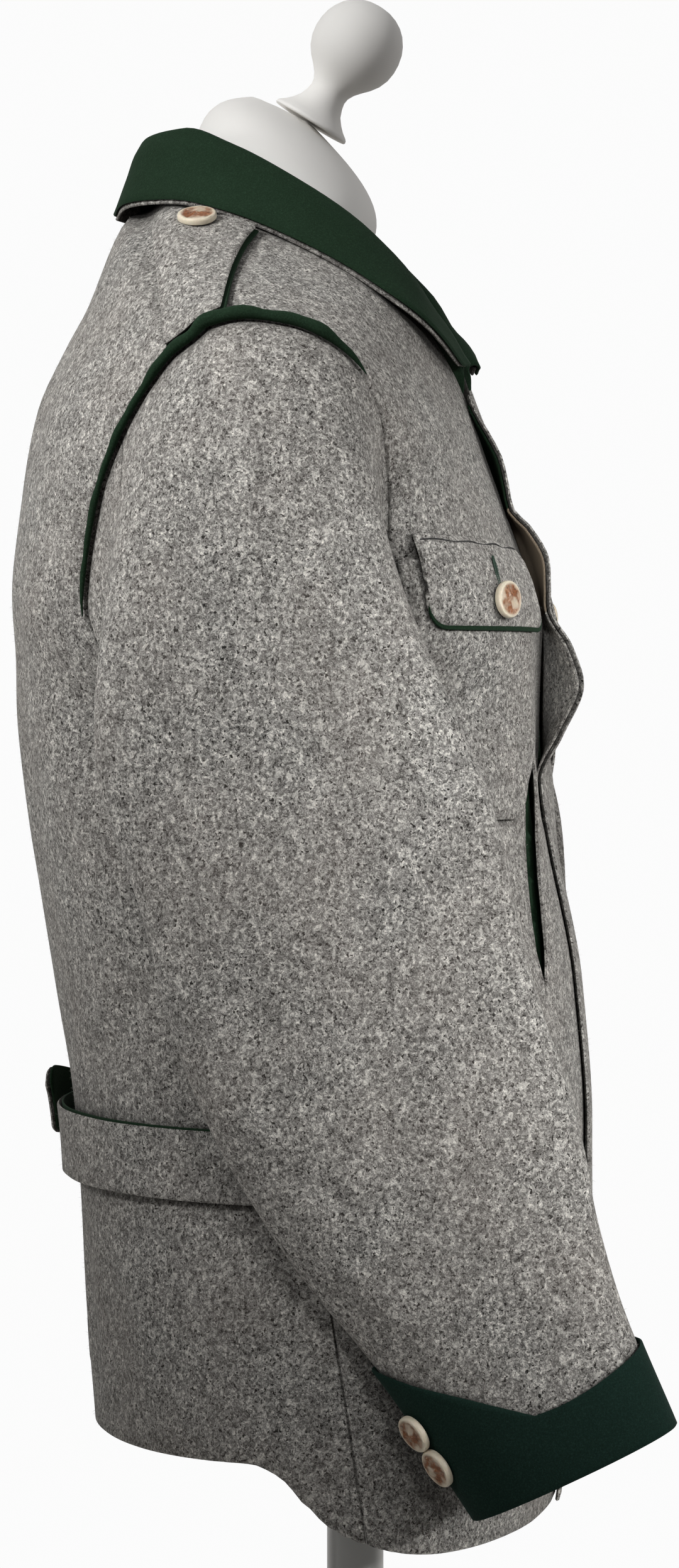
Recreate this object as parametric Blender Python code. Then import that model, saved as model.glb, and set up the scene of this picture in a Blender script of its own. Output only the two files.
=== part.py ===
"""Tyrolean loden jacket on a limbless dress form with a round stand.

The jacket's front faces -Y, its right side -X.

The body is a surface of rows: each row runs from the centre line (or the neckline) out to the side seam
(or the armhole). A place on the cloth is given by its row and by how far along the row it lies, so
pockets, straps and belt are patches of that surface, moved out. All tables are in millimetres.
"""

import math

import bmesh
import bpy
import numpy as np

MM = 0.001
RIGHT, LEFT = -1, 1
SIDE_NAMES = {RIGHT: "right", LEFT: "left"}

# Cloth and seams
LODEN = 2.3
FELT = 1.8
LINING = 1.2
SEAM_GAP = 0.3

# Front edges: the left front laps over the right one
LAP_UNDER = 10.0
LAP_OVER = 12.0
LAP_RAMP = 40.0
LAP_LIFT = 3.1
FACING_LIFT = 1.6

# Chest pocket and its flap, by distance along the cloth from the centre front, and height
POCKET_NEAR, POCKET_FAR = 64.0, 184.0
POCKET_BOTTOM, POCKET_TOP = 533.0, 668.0
POCKET_STAND_OFF = 3.6
POCKET_CORNER = 24.0
FLAP_NEAR, FLAP_FAR = 50.0, 188.0
FLAP_BOTTOM, FLAP_TOP = 636.0, 681.0
FLAP_CORNER = 12.0
FLAP_EDGE = 3.0

# Hand-warmer slit below the chest pocket: its rear lip sinks in behind the front one
SLIT_AT = 66.0
SLIT_WIDTH = 6.0
SLIT_TOP, SLIT_BOTTOM = 551.0, 398.0
SLIT_FRONT_SINK, SLIT_REAR_SINK = 2.0, 6.5

# Half belt
BELT_TOP, BELT_BOTTOM = 370.0, 332.0
BELT_STAND_OFF = 4.0
BELT_TAB_FLARE = 13.0

# Centre-back vent
VENT_TOP = 328.0
VENT_CORNER = 30.0

# Shoulder strap, from the sleeve head to the collar
STRAP_INNER = 101.0
STRAP_HALF_OUTER, STRAP_HALF_INNER = 19.0, 27.0
STRAP_EDGE = 1.6

# Armhole roll
ROLL_RADIUS = 4.3

# Stag-horn buttons
STRAP_BUTTON = 21.5
FLAP_BUTTON = 20.5
CUFF_BUTTON = 21.0
BUTTON_THICK = 4.4

# Stand
BASE_RADIUS, BASE_THICK = 160.0, 12.0
POLE_RADIUS = 16.0
FORM_BOTTOM = 222.0


def table(columns, *rows):
    """Named columns of numbers, a row for each section."""
    return {name: np.array([row[i] for row in rows], float) for i, name in enumerate(columns.split())}


ROW_COLUMNS = "cx cy cz ex ey ez fx1 fy1 fz1 fx2 fy2 fz2"

# Each row: its start on the centre line or neckline (c), its end on the side seam or armhole (e),
# and where its two middle control points lie, as fractions of the way from c to e.
BACK = table(
    ROW_COLUMNS,
    (0, 141, 150, 214, -38, 150, 0.55, 0.00, 0.00, 1.04, 0.42, 1.00),  # below the hem
    (0, 151, 290, 202, -14, 290, 0.55, 0.00, 0.00, 1.03, 0.42, 1.00),
    (0, 156, 360, 190, 0, 360, 0.56, 0.00, 0.00, 1.02, 0.42, 1.00),  # half belt
    (0, 166, 440, 190, 16, 440, 0.57, 0.00, 0.00, 1.01, 0.42, 1.00),
    (0, 181, 525, 190, 32, 520, 0.58, 0.00, 0.00, 1.00, 0.40, 1.00),
    (0, 189, 590, 178, 42, 585, 0.60, 0.00, 0.00, 1.02, 0.38, 1.00),  # armpit
    (0, 190, 625, 176, 86, 598, 0.55, 0.00, 0.05, 0.96, 0.50, 0.85),
    (0, 190, 665, 172, 120, 645, 0.50, 0.00, 0.10, 0.93, 0.45, 0.80),
    (0, 186, 712, 180, 111, 699, 0.50, 0.00, 0.10, 0.90, 0.50, 0.70),
    (0, 176, 764, 188, 98, 731, 0.48, 0.00, 0.10, 0.86, 0.50, 0.65),
    (0, 150, 820, 197, 80, 758, 0.45, 0.00, 0.08, 0.80, 0.55, 0.60),
    (0, 125, 878, 204, 66, 773, 0.40, 0.10, 0.12, 0.75, 0.62, 0.62),  # nape
    (65, 95, 874, 208, 54, 781, 0.36, 0.30, 0.22, 0.70, 0.65, 0.62),
    (84, 62, 868, 211, 46, 787, 0.33, 0.33, 0.30, 0.67, 0.67, 0.63),  # shoulder seam
)
FRONT = table(
    ROW_COLUMNS,
    (0, -113, 150, 214, -38, 150, 0.58, 0.00, 0.00, 0.97, 0.40, 1.00),  # below the hem
    (0, -131, 290, 202, -14, 290, 0.58, 0.00, 0.00, 0.97, 0.40, 1.00),
    (0, -131, 360, 190, 0, 360, 0.58, 0.00, 0.00, 0.98, 0.40, 1.00),
    (0, -125, 440, 190, 16, 440, 0.58, 0.00, 0.00, 0.99, 0.40, 1.00),
    (0, -113, 525, 190, 32, 520, 0.60, 0.00, 0.00, 1.00, 0.40, 1.00),
    (0, -110, 590, 178, 42, 585, 0.62, 0.00, 0.00, 1.00, 0.40, 1.00),  # armpit
    (0, -108, 632, 174, 2, 600, 0.62, 0.00, 0.00, 1.00, 0.38, 0.80),
    (0, -99, 665, 172, -32, 640, 0.62, 0.00, 0.10, 1.00, 0.35, 0.80),
    (0, -85, 704, 172, -43, 690, 0.56, 0.00, 0.10, 0.95, 0.40, 0.80),
    (0, -73, 737, 178, -41, 735, 0.50, 0.00, 0.20, 0.90, 0.40, 0.80),
    (0, -63, 768, 188, -31, 763, 0.45, 0.05, 0.25, 0.82, 0.50, 0.80),  # neck pit
    (50, -46, 796, 201, -14, 779, 0.40, 0.20, 0.25, 0.74, 0.60, 0.70),
    (77, -15, 826, 208, 5, 787, 0.36, 0.28, 0.28, 0.70, 0.65, 0.66),
    (88, 25, 852, 212, 28, 790, 0.33, 0.33, 0.30, 0.67, 0.67, 0.63),
    (84, 62, 868, 211, 46, 787, 0.33, 0.33, 0.30, 0.67, 0.67, 0.63),  # shoulder seam
)
ARMPIT_ROW = 5

# Height of the hem by how far forward (-) or back (+) a point lies
HEM = table(
    "y z",
    (-120, 146), (-100, 152), (-66, 155), (-50, 158), (-33, 163), (-21, 168),
    (-9, 176), (2, 187), (14, 196), (26, 200), (60, 199), (145, 197),
)

# How far the front edges bow forward of the chest between the places where they are held together
FRONT_EDGE = table(
    "z right left",
    (140, 0, 1), (300, 0, 2), (440, 1, 1), (520, 0, 1), (552, -1, 0), (578, 10, 14),
    (606, 16, 18), (628, 11, 12), (648, 3, 3), (662, 0, 6), (680, 0, 10), (696, 0, 6),
    (706, 0, 1), (718, 0, 4), (734, 0, 7), (750, 0, 4), (762, 0, 0), (790, 0, 0),
)
BOW_REACH = 58.0

# Sleeve sections below the armpit: centre, half sizes across (front to back) and through (side to side),
# and how far the left sleeve hangs out from the right one's pose, back from it, and more upright
SLEEVE = table(
    "x y z across through lean out back upright",
    (221, 7, 560, 94, 28, 14, 0, 0, 0), (222, -12, 508, 95, 28, 16, 3, 7, 3),
    (222, -25, 455, 94, 27, 19, 6, 16, 6), (222, -41, 407, 91, 27, 23, 10, 29, 10),
    (222, -61, 365, 86, 26, 26, 14, 46, 13), (222, -78, 330, 79, 26, 27, 18, 59, 13),
    (221, -94, 297, 69, 28, 28, 22, 68, 12), (220, -113, 259, 61, 29, 28, 26, 74, 10),
    (219, -143, 203, 55, 31, 26, 29, 80, 8),
)
CUFF_FROM = 6.0
# Height of the cuff's top edge above its bottom, once round from the outer side by way of the front
CUFF_EDGE = table(
    "turn height", (0, 46), (0.06, 45), (0.25, 52), (0.5, 70), (0.75, 91), (0.85, 74), (1, 46)
)

# Collar: the fold and the leaf's edge, from the nape (0) to the front end (1)
COLLAR = table(
    "run foldx foldy foldz edgex edgey edgez",
    (0.00, 0, 118, 911, 0, 138, 877), (0.15, 33, 110, 914, 42, 125, 877),
    (0.30, 58, 86, 914, 77, 92, 874), (0.45, 73, 55, 901, 99, 55, 863),
    (0.60, 79, 18, 880, 108, 14, 847), (0.75, 72, -24, 849, 101, -26, 828),
    (0.88, 50, -50, 815, 77, -57, 800), (1.00, 14, -64, 789, 28, -74, 770),
)

# Dress form, from the bottom up: half width, half depth, centre
FORM = table(
    "z wide deep y power",
    (222, 128, 88, 22, 2.2), (236, 146, 100, 22, 2.2), (300, 156, 108, 22, 2.2), (410, 136, 96, 28, 2.2),
    (520, 150, 108, 36, 2.2), (600, 158, 120, 40, 2.3), (680, 160, 118, 48, 2.3),
    (740, 166, 106, 50, 2.3), (775, 176, 98, 54, 2.1), (798, 171, 90.5, 54, 2.0), (820, 143.7, 81.7, 57, 2.0),
    (832, 126.7, 74.7, 59, 2.0), (845, 108.7, 65.7, 60, 2.0), (856, 84, 58, 52, 2.0), (868, 70, 56, 43, 2.0),
    (890, 58, 54, 42, 2.0), (912, 51, 46, 44, 2.0), (926, 38, 34, 45, 2.0),
    (934, 20, 18, 42, 2.0),
)
KNOB_LEAN = 32.0
KNOB_BASE_Y, KNOB_BASE_Z = 26.0, 927.0
# Turned profile of the knob above its foot: radius and height
KNOB = table(
    "radius height",
    (23, 0), (22.5, 2.5), (16, 8), (11.5, 16), (11, 22), (16, 29.5), (23, 38), (26, 50),
    (25, 59), (20, 68), (12, 74), (4, 76.5),
)

LODEN_GREY = (0.235, 0.222, 0.205, 1.0)
FELT_GREEN = (0.014, 0.042, 0.022, 1.0)
TAUPE = (0.155, 0.125, 0.098, 1.0)
HORN = (0.62, 0.47, 0.31, 1.0)
FORM_WHITE = (0.80, 0.79, 0.76, 1.0)
STAND_GREY = (0.55, 0.55, 0.54, 1.0)


# ---------------------------------------------------------------- curves


def smooth(knots, values, at):
    """Values at `at` on a smooth curve through the knots that never overshoots them."""
    at = np.clip(np.asarray(at, float), knots[0], knots[-1])
    steps = np.diff(knots)
    secants = np.diff(values) / steps
    slopes = np.zeros(len(knots))
    slopes[0], slopes[-1] = secants[0], secants[-1]
    same_way = secants[:-1] * secants[1:] > 0
    safe = np.where(same_way, secants[:-1] + secants[1:], 1.0)
    slopes[1:-1] = np.where(same_way, 2 * secants[:-1] * secants[1:] / safe, 0.0)
    i = np.clip(np.searchsorted(knots, at, side="right") - 1, 0, len(knots) - 2)
    step = steps[i]
    t = (at - knots[i]) / step
    return (
        (1 + 2 * t) * (1 - t) ** 2 * values[i]
        + t * (1 - t) ** 2 * step * slopes[i]
        + t**2 * (3 - 2 * t) * values[i + 1]
        + t**2 * (t - 1) * step * slopes[i + 1]
    )


def ease(t):
    """0 to 1, level at both ends."""
    t = np.clip(t, 0.0, 1.0)
    return t * t * (3 - 2 * t)


def unit(vectors):
    return vectors / np.maximum(np.linalg.norm(vectors, axis=-1, keepdims=True), 1e-9)


def evenly(points, count, closed=False):
    """The line through the points, as `count` points at even distances along it."""
    line = np.vstack([points, points[:1]]) if closed else np.asarray(points)
    lengths = np.r_[0, np.cumsum(np.linalg.norm(np.diff(line, axis=0), axis=1))]
    at = np.linspace(0, lengths[-1], count + closed)[:count]
    return np.column_stack([np.interp(at, lengths, line[:, k]) for k in range(3)])


def grid_normals(grid, closed=False):
    """Unit normals of a grid of points; `closed` joins its last column to its first."""
    along = np.gradient(grid, axis=0)
    if closed:
        across = np.roll(grid, -1, axis=1) - np.roll(grid, 1, axis=1)
    else:
        across = np.gradient(grid, axis=1)
    return unit(np.cross(across, along))


# ---------------------------------------------------------------- the body surface


def slit_sink(x, z):
    """How far the cloth beside the hand-warmer slit lies behind the smooth front."""
    window = ease((z - SLIT_BOTTOM + 6) / 45) * ease((SLIT_TOP - 11 - z) / 45)
    front = SLIT_FRONT_SINK * ease((x - 15) / (SLIT_AT - 15))
    rear = SLIT_REAR_SINK * ease((140 - x) / (140 - SLIT_AT))
    return window * np.where(x < SLIT_AT, front, rear)


class Panel:
    """Half of the front or of the back, as a fine lattice of the cloth's outer face."""

    ROWS, COLUMNS = 30, 120

    def __init__(self, rows, side, is_front):
        self.side, self.is_front = side, is_front
        self.last = len(rows["cx"]) - 1
        knots = np.arange(self.last + 1.0)
        self.levels = np.linspace(0, self.last, self.last * self.ROWS + 1)
        self.shares = np.linspace(0, 1, self.COLUMNS + 1)
        at = {name: smooth(knots, values, self.levels)[:, None] for name, values in rows.items()}
        lattice = []
        for axis in "xyz":
            start, reach = at["c" + axis], at["e" + axis] - at["c" + axis]
            first, second = at[f"f{axis}1"], at[f"f{axis}2"]
            a = self.shares[None, :]
            lattice.append(start + reach * (3 * a * (1 - a) ** 2 * first + 3 * a * a * (1 - a) * second + a**3))
        self.points = np.stack(lattice, axis=-1)
        if is_front:
            bow = smooth(FRONT_EDGE["z"], FRONT_EDGE[SIDE_NAMES[side]], self.points[..., 2])
            self.points[..., 1] -= bow * ease(1 - self.points[..., 0] / BOW_REACH)
            self.points[..., 1] += slit_sink(self.points[..., 0], self.points[..., 2])
        self.points[..., 0] *= side
        self.normals = grid_normals(self.points)
        outward = -1 if is_front else 1
        if self.normals[60, 5, 1] * outward < 0:
            self.normals = -self.normals
        steps = np.linalg.norm(np.diff(self.points, axis=1), axis=2)
        self.reach = np.concatenate([np.zeros((len(steps), 1)), np.cumsum(steps, axis=1)], axis=1)

    def look_up(self, lattice, level, share):
        i = float(np.clip(level, 0, self.last)) * self.ROWS
        j = float(np.clip(share, 0, 1)) * self.COLUMNS
        i0, j0 = min(int(i), lattice.shape[0] - 2), min(int(j), lattice.shape[1] - 2)
        u, v = i - i0, j - j0
        near = lattice[i0, j0] * (1 - v) + lattice[i0, j0 + 1] * v
        far = lattice[i0 + 1, j0] * (1 - v) + lattice[i0 + 1, j0 + 1] * v
        return near * (1 - u) + far * u

    def point(self, level, share):
        return self.look_up(self.points, level, share)

    def normal(self, level, share):
        return unit(self.look_up(self.normals, level, share))

    def level_at(self, share, z):
        """The row that passes height z at this share of the way across."""
        column = self.points[:, int(round(share * self.COLUMNS)), 2]
        return float(np.interp(z, column, self.levels))

    def place(self, distance, z):
        """Row and share of the place this far along the cloth from the centre line, at height z."""
        share = 0.3
        for _ in range(5):
            level = self.level_at(share, z)
            i = min(int(round(level * self.ROWS)), len(self.reach) - 1)
            share = float(np.interp(distance, self.reach[i], self.shares))
        return level, share

    def hem_level(self, share):
        """The row at which the hem cuts this column."""
        column = self.points[: 2 * self.ROWS, int(round(share * self.COLUMNS))]
        gap = column[:, 2] - smooth(HEM["y"], HEM["z"], column[:, 1])
        return float(np.interp(0, gap, self.levels[: 2 * self.ROWS]))


PANELS = {
    (part, side): Panel(rows, side, part == "front")
    for part, rows in (("back", BACK), ("front", FRONT))
    for side in (RIGHT, LEFT)
}


# ---------------------------------------------------------------- meshes


def material(name, colour, roughness=0.9):
    found = bpy.data.materials.get(name)
    if found:
        return found
    made = bpy.data.materials.new(name)
    made.use_nodes = True
    shader = made.node_tree.nodes["Principled BSDF"]
    shader.inputs["Base Color"].default_value = colour
    shader.inputs["Roughness"].default_value = roughness
    return made


def loden():
    return material("grey loden", LODEN_GREY, 0.95)


def felt():
    return material("green felt", FELT_GREEN, 0.95)


def horn():
    return material("stag horn", HORN, 0.45)


def add_object(name, points, faces, finish):
    mesh = bpy.data.meshes.new(name)
    mesh.from_pydata([tuple(p * MM) for p in np.asarray(points)], [], faces)
    shape = bmesh.new()
    shape.from_mesh(mesh)
    unused = [v for v in shape.verts if not v.link_faces]
    bmesh.ops.delete(shape, geom=unused, context="VERTS")
    bmesh.ops.recalc_face_normals(shape, faces=shape.faces)
    if shape.calc_volume(signed=True) < 0:
        bmesh.ops.reverse_faces(shape, faces=shape.faces)
    shape.to_mesh(mesh)
    shape.free()
    mesh.materials.append(finish)
    mesh.shade_smooth()
    mesh.set_sharp_from_angle(angle=math.radians(40))
    obj = bpy.data.objects.new(name, mesh)
    bpy.context.scene.collection.objects.link(obj)
    return obj


def wall(name, outer, inner, finish, closed=False, kept=None):
    """A closed wall between two grids of points. `closed` joins the last column to the first, as on a tube,
    and `kept` says which squares of the grid are cloth."""
    rows, columns = outer.shape[:2]
    under = rows * columns
    quads = []
    for i in range(rows - 1):
        for j in range(columns if closed else columns - 1):
            if kept is None or kept[i, j]:
                near, far, k = i * columns, (i + 1) * columns, (j + 1) % columns
                quads.append((near + j, near + k, far + k, far + j))
    edges = {edge for quad in quads for edge in zip(quad, quad[1:] + quad[:1])}
    faces = []
    # Every square is split the same way, so that a piece and what lies on it stay parallel
    for a, b, c, d in quads:
        faces += [(a, b, c), (a, c, d)]
        a, b, c, d = a + under, b + under, c + under, d + under
        faces += [(c, b, a), (d, c, a)]
    for a, b in sorted(edges):
        if (b, a) not in edges:
            if a < b:
                faces += [(b, a, b + under), (a, a + under, b + under)]
            else:
                faces += [(b, a, a + under), (b, a + under, b + under)]
    points = np.vstack([outer.reshape(-1, 3), inner.reshape(-1, 3)])
    return add_object(name, points, faces, finish)


def cloth(name, grid, normals, thick, finish, lift=0.0, closed=False):
    """A wall of cloth whose inner face lies `lift` outside the grid."""
    return wall(name, grid + normals * (lift + thick), grid + normals * lift, finish, closed)


def tube(name, path, radii, sides, finish):
    """A solid tube along a path, with its own radius at each point and closed ends."""
    forward = unit(np.gradient(path, axis=0))
    sideways = unit(np.cross(forward, np.array([0.0, 0.0, 1.0]) + 0 * path))
    upward = np.cross(sideways, forward)
    turns = np.linspace(0, 2 * math.pi, sides, endpoint=False)
    rings = [
        path[i] + radii[i] * (np.cos(turns)[:, None] * sideways[i] + np.sin(turns)[:, None] * upward[i])
        for i in range(len(path))
    ]
    return capped(name, np.array(rings), finish)


def capped(name, rings, finish):
    """A solid through rings of points, closed by a flat face at each end."""
    count, sides = rings.shape[:2]
    faces = [
        (i * sides + j, i * sides + (j + 1) % sides, (i + 1) * sides + (j + 1) % sides, (i + 1) * sides + j)
        for i in range(count - 1)
        for j in range(sides)
    ]
    faces.append(tuple(range(sides))[::-1])
    faces.append(tuple((count - 1) * sides + j for j in range(sides)))
    return add_object(name, rings.reshape(-1, 3), faces, finish)


# ---------------------------------------------------------------- fronts and backs

# Columns of a body panel, from the centre line to the side; rows from the hem to the armpit, by height;
# and rows from the armpit to the shoulder seam. Armhole rows are also where the sleeve's columns start.
SHARES = np.array([0, 0.04, 0.1, 0.2, 0.32, 0.44, 0.56, 0.68, 0.78, 0.87, 0.94, 1.0])
SLIT_COLUMN = 4
LOW_ROWS = np.array([0, 0.14, 0.28, 0.41, 0.5, 0.566, 0.65, 0.74, 0.83, 0.915, 0.96, 1.0])
SLIT_ROWS = range(5, 9)
HIGH_ROWS = {
    "back": np.array([5, 5.55, 6.2, 6.9, 7.6, 8.3, 9.0, 9.7, 10.35, 11, 11.5, 12, 12.5, 13]),
    "front": np.array([5, 5.35, 5.9, 6.45, 7.0, 7.4, 8.0, 8.9, 10, 10.6, 11.2, 12, 13, 14]),
}
ARMPIT = len(LOW_ROWS) - 1
NECK_PIT = ARMPIT + 8
RING_HALF = len(HIGH_ROWS["back"]) - 1


def panel_grid(panel):
    """Outer points and normals of a body panel. A front has two columns at its slit, one along each lip."""
    high = HIGH_ROWS["front" if panel.is_front else "back"]
    columns = [np.full(ARMPIT + len(high), share) for share in SHARES]
    if panel.is_front:
        columns[SLIT_COLUMN : SLIT_COLUMN + 1] = slit_columns(panel, len(high))
    grid, normals = [], []
    for shares in columns:
        bottom = panel.hem_level(shares[0])
        low_z, high_z = panel.point(bottom, shares[0])[2], panel.point(ARMPIT_ROW, shares[0])[2]
        low = [panel.level_at(shares[0], low_z + (high_z - low_z) * step) for step in LOW_ROWS[1:-1]]
        places = list(zip([bottom, *low, *high], shares))
        grid.append([panel.point(*place) for place in places])
        normals.append([panel.normal(*place) for place in places])
        # The shoulder seam faces the mean way of the two panels that meet there
        other = PANELS["back" if panel.is_front else "front", panel.side]
        normals[-1][-1] = unit(normals[-1][-1] + other.normal(other.last, shares[-1]))
    return np.array(grid).transpose(1, 0, 2), np.array(normals).transpose(1, 0, 2)


def slit_columns(panel, high_count):
    """Shares of the two columns beside the slit, closest together at its ends."""
    first, last = SLIT_ROWS[0], SLIT_ROWS[-1] + 1
    front, rear = [], []
    for i in range(ARMPIT + high_count):
        low_z = 150 + (588 - 150) * LOW_ROWS[min(max(i, first), last)]
        half = SLIT_WIDTH / 2 + 1.0
        if first <= i <= last:
            along = (i - first) / (last - first)
            half = max(0.6, SLIT_WIDTH / 2 * math.sin(math.pi * along) ** 0.5)
        front.append(panel.place(SLIT_AT - half, low_z)[1])
        rear.append(panel.place(SLIT_AT + half, low_z)[1])
    return front, rear


def join_seams(back, front):
    """Brings the two panels of one side together at the side and shoulder seams, a seam gap apart."""
    rows = np.s_[: ARMPIT + 1, -1]
    middle, mean = (back[0][rows] + front[0][rows]) / 2, unit(back[1][rows] + front[1][rows])
    for grid, normals in (back, front):
        grid[rows], normals[rows] = middle, mean
        grid[rows] += unit(grid[: ARMPIT + 1, -2] - grid[rows]) * SEAM_GAP / 2
        grid[-1] += unit(grid[-2] - grid[-1]) * SEAM_GAP / 2


def past_centre(grid, normals, reach):
    """The column past the centre line, from the panel's own curve turned over that line."""
    points, turned = [], []
    for row, normal in zip(grid, normals):
        x = np.abs(row[:, 0])
        point = [np.interp(reach, x, row[:, k]) for k in range(3)]
        facing = [np.interp(reach, x, normal[:, k]) for k in range(3)]
        points.append(np.array(point) * [-1, 1, 1])
        turned.append(unit(np.array(facing) * [-1, 1, 1]))
    return np.array(points)[:, None], np.array(turned)[:, None]


def build_backs(grids):
    for side in (RIGHT, LEFT):
        grid, normals = grids["back", side]
        grid = grid.copy()
        on_centre = np.abs(grid[:, 0, 0]) < 1.0
        grid[on_centre, 0, 0] = side * SEAM_GAP / 2
        normals[on_centre, 0, 0] = 0.0
        for i in np.nonzero(grid[:, 0, 2] < VENT_TOP)[0]:
            open_by = ease((VENT_TOP - grid[i, 0, 2]) / 90.0)
            for j, fade in enumerate((1.0, 0.9, 0.65, 0.3)):
                grid[i, j, 0] += side * 1.0 * open_by * fade
                if side == LEFT:
                    grid[i, j, 1] += 8.0 * open_by * fade
        round_corner(grid, side)
        wall(f"back_{SIDE_NAMES[side]}", grid, grid - normals * LODEN, loden())


def round_corner(grid, side):
    """Rounds the lower corner of the vent; the left panel's corner is cut higher."""
    radius = VENT_CORNER if side == RIGHT else VENT_CORNER + 8
    for j in range(4):
        inset = abs(grid[0, j, 0])
        if inset >= radius:
            continue
        rise = radius - math.sqrt(radius**2 - (radius - inset) ** 2)
        bottom, top = grid[0, j].copy(), grid[3, j].copy()
        share = rise / (top[2] - bottom[2])
        for i in range(3):
            grid[i, j] = bottom + (top - bottom) * (share + (1 - share) * i / 3)


def lapped(grids, side):
    """A front's points and normals with its part past the centre, the left front lifted over the right."""
    grid, normals = grids["front", side]
    extra, turned = past_centre(grid, normals, LAP_UNDER if side == RIGHT else LAP_OVER)
    grid = np.concatenate([extra, grid], axis=1)
    normals = np.concatenate([turned, normals], axis=1)
    if side == LEFT:
        grid = grid + normals * lap_lift(grid[..., 0], grid[..., 2])[..., None]
    return grid, normals


def between_rows(grid, rows):
    """The grid at these rows, which may lie between its own."""
    low = np.minimum(rows.astype(int), len(grid) - 2)
    share = (rows - low)[:, None, None]
    return grid[low] * (1 - share) + grid[low + 1] * share


def lap_lift(x, z):
    """How far the left front lies out over the right one; more where it has a facing inside."""
    facing = FACING_LIFT * ease((z - 525) / 22)
    return (LAP_LIFT + facing) * ease((LAP_UNDER + LAP_RAMP - x) / LAP_RAMP)


def build_fronts(grids):
    for side in (RIGHT, LEFT):
        grid, normals = lapped(grids, side)
        kept = np.ones((len(grid) - 1, grid.shape[1] - 1), bool)
        kept[NECK_PIT:, 0] = False
        kept[SLIT_ROWS[0] : SLIT_ROWS[-1] + 1, SLIT_COLUMN + 1] = False
        wall(f"front_{SIDE_NAMES[side]}", grid, grid - normals * LODEN, loden(), kept=kept)


def build_front_facings(grids):
    """Strips that show inside the left front's edge where the fronts gape."""
    grid, normals = lapped(grids, LEFT)
    inside = grid - normals * (LODEN + 0.5)
    z = inside[: NECK_PIT + 1, :, 2]
    taupe = material("taupe placket", TAUPE, 0.8)
    strips = (
        ("front_facing_lower", 553.0, 647.7, felt()),
        ("fly_placket", 648.3, 705.7, taupe),
        ("front_facing_upper", 706.3, 764.0, felt()),
    )
    for name, low, high, finish in strips:
        heights = [low, *[h for h in z[:, 1] if low + 2 < h < high - 2], high]
        rows = np.interp(heights, z[:, 1], np.arange(NECK_PIT + 1.0))
        points, facing = between_rows(inside, rows)[:, :4], between_rows(normals, rows)[:, :4]
        points[:, 0] += unit(points[:, 1] - points[:, 0]) * 1.0
        wall(name, points, points - facing * LINING, finish)


def patch(panel, distances, heights, corner=0.0):
    """Points and normals of a rectangle of the cloth, its lower corners rounded."""
    grid = np.empty((len(heights), len(distances), 3))
    normals = np.empty_like(grid)
    near, far = distances[0], distances[-1]
    bottom = heights[0]
    for j, distance in enumerate(distances):
        rise = 0.0
        for edge in (near, far):
            inset = abs(distance - edge)
            if inset < corner:
                rise = corner - math.sqrt(corner**2 - (corner - inset) ** 2)
        for i, height in enumerate(heights):
            share = (height - bottom) / (heights[-1] - bottom)
            z = height + rise * (1 - share)
            level, across = panel.place(distance, z)
            grid[i, j] = panel.point(level, across)
            normals[i, j] = panel.normal(level, across)
    return grid, normals


def corner_steps(near, far, corner, middle):
    """Distances across a piece, closer together at its rounded corners."""
    bends = corner * (1 - np.cos(np.linspace(0, math.pi / 2, 4)))
    return np.r_[near + bends, np.linspace(near + corner, far - corner, middle)[1:-1], (far - bends)[::-1]]


def build_pockets():
    for side in (RIGHT, LEFT):
        panel, name = PANELS["front", side], SIDE_NAMES[side]
        distances = corner_steps(POCKET_NEAR, POCKET_FAR, POCKET_CORNER, 5)
        heights = np.array([POCKET_BOTTOM, 548.0, 572.0, 600.0, 628.0, POCKET_TOP])
        grid, normals = patch(panel, distances, heights, POCKET_CORNER)
        lift = np.full(grid.shape[:2], POCKET_STAND_OFF)
        lift[:, 0] = 2.6
        lift[:, -1] = 1.3
        lift[1] = np.minimum(lift[1], 2.9)
        lift[0] = lift[-1] = 1.3
        base = grid + normals * lift[..., None]
        wall(f"chest_pocket_{name}", base + normals * LODEN, base, loden())
        build_flap(panel, name)


def build_flap(panel, name):
    distances = corner_steps(FLAP_NEAR, FLAP_FAR, FLAP_CORNER, 6)
    heights = np.array([FLAP_BOTTOM, 651.0, 668.0, FLAP_TOP])
    grid, normals = patch(panel, distances, heights, FLAP_CORNER)
    lift = POCKET_STAND_OFF + LODEN + np.array([1.3, 1.6, 0.2, 0.0])
    lift[-1] = 1.3
    base = grid + normals * lift[:, None, None]
    wall(f"pocket_flap_{name}", base + normals * LODEN, base, loden())
    # The edge: a narrow felt strip along the bottom, just below the flap
    down = unit(base[0] - base[1])
    edge = np.array([base[0] + down * FLAP_EDGE, base[0] + down * SEAM_GAP])
    facing = normals[:1]
    wall(f"flap_edge_{name}", edge + facing * (LODEN - 0.2), edge + facing * 0.2, felt())


def build_facings():
    """Felt behind the slits, and the strips that show inside the left front's edge."""
    for side in (RIGHT, LEFT):
        panel = PANELS["front", side]
        distances = SLIT_AT + np.array([-15.0, -5.0, 5.0, 17.0])
        heights = np.linspace(SLIT_BOTTOM - 5, SLIT_TOP + 5, 9)
        grid, normals = patch(panel, distances, heights)
        base = grid - normals * (LODEN + 3.0 + FELT)
        wall(f"slit_facing_{SIDE_NAMES[side]}", base + normals * FELT, base, felt())


# ---------------------------------------------------------------- half belt


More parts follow.
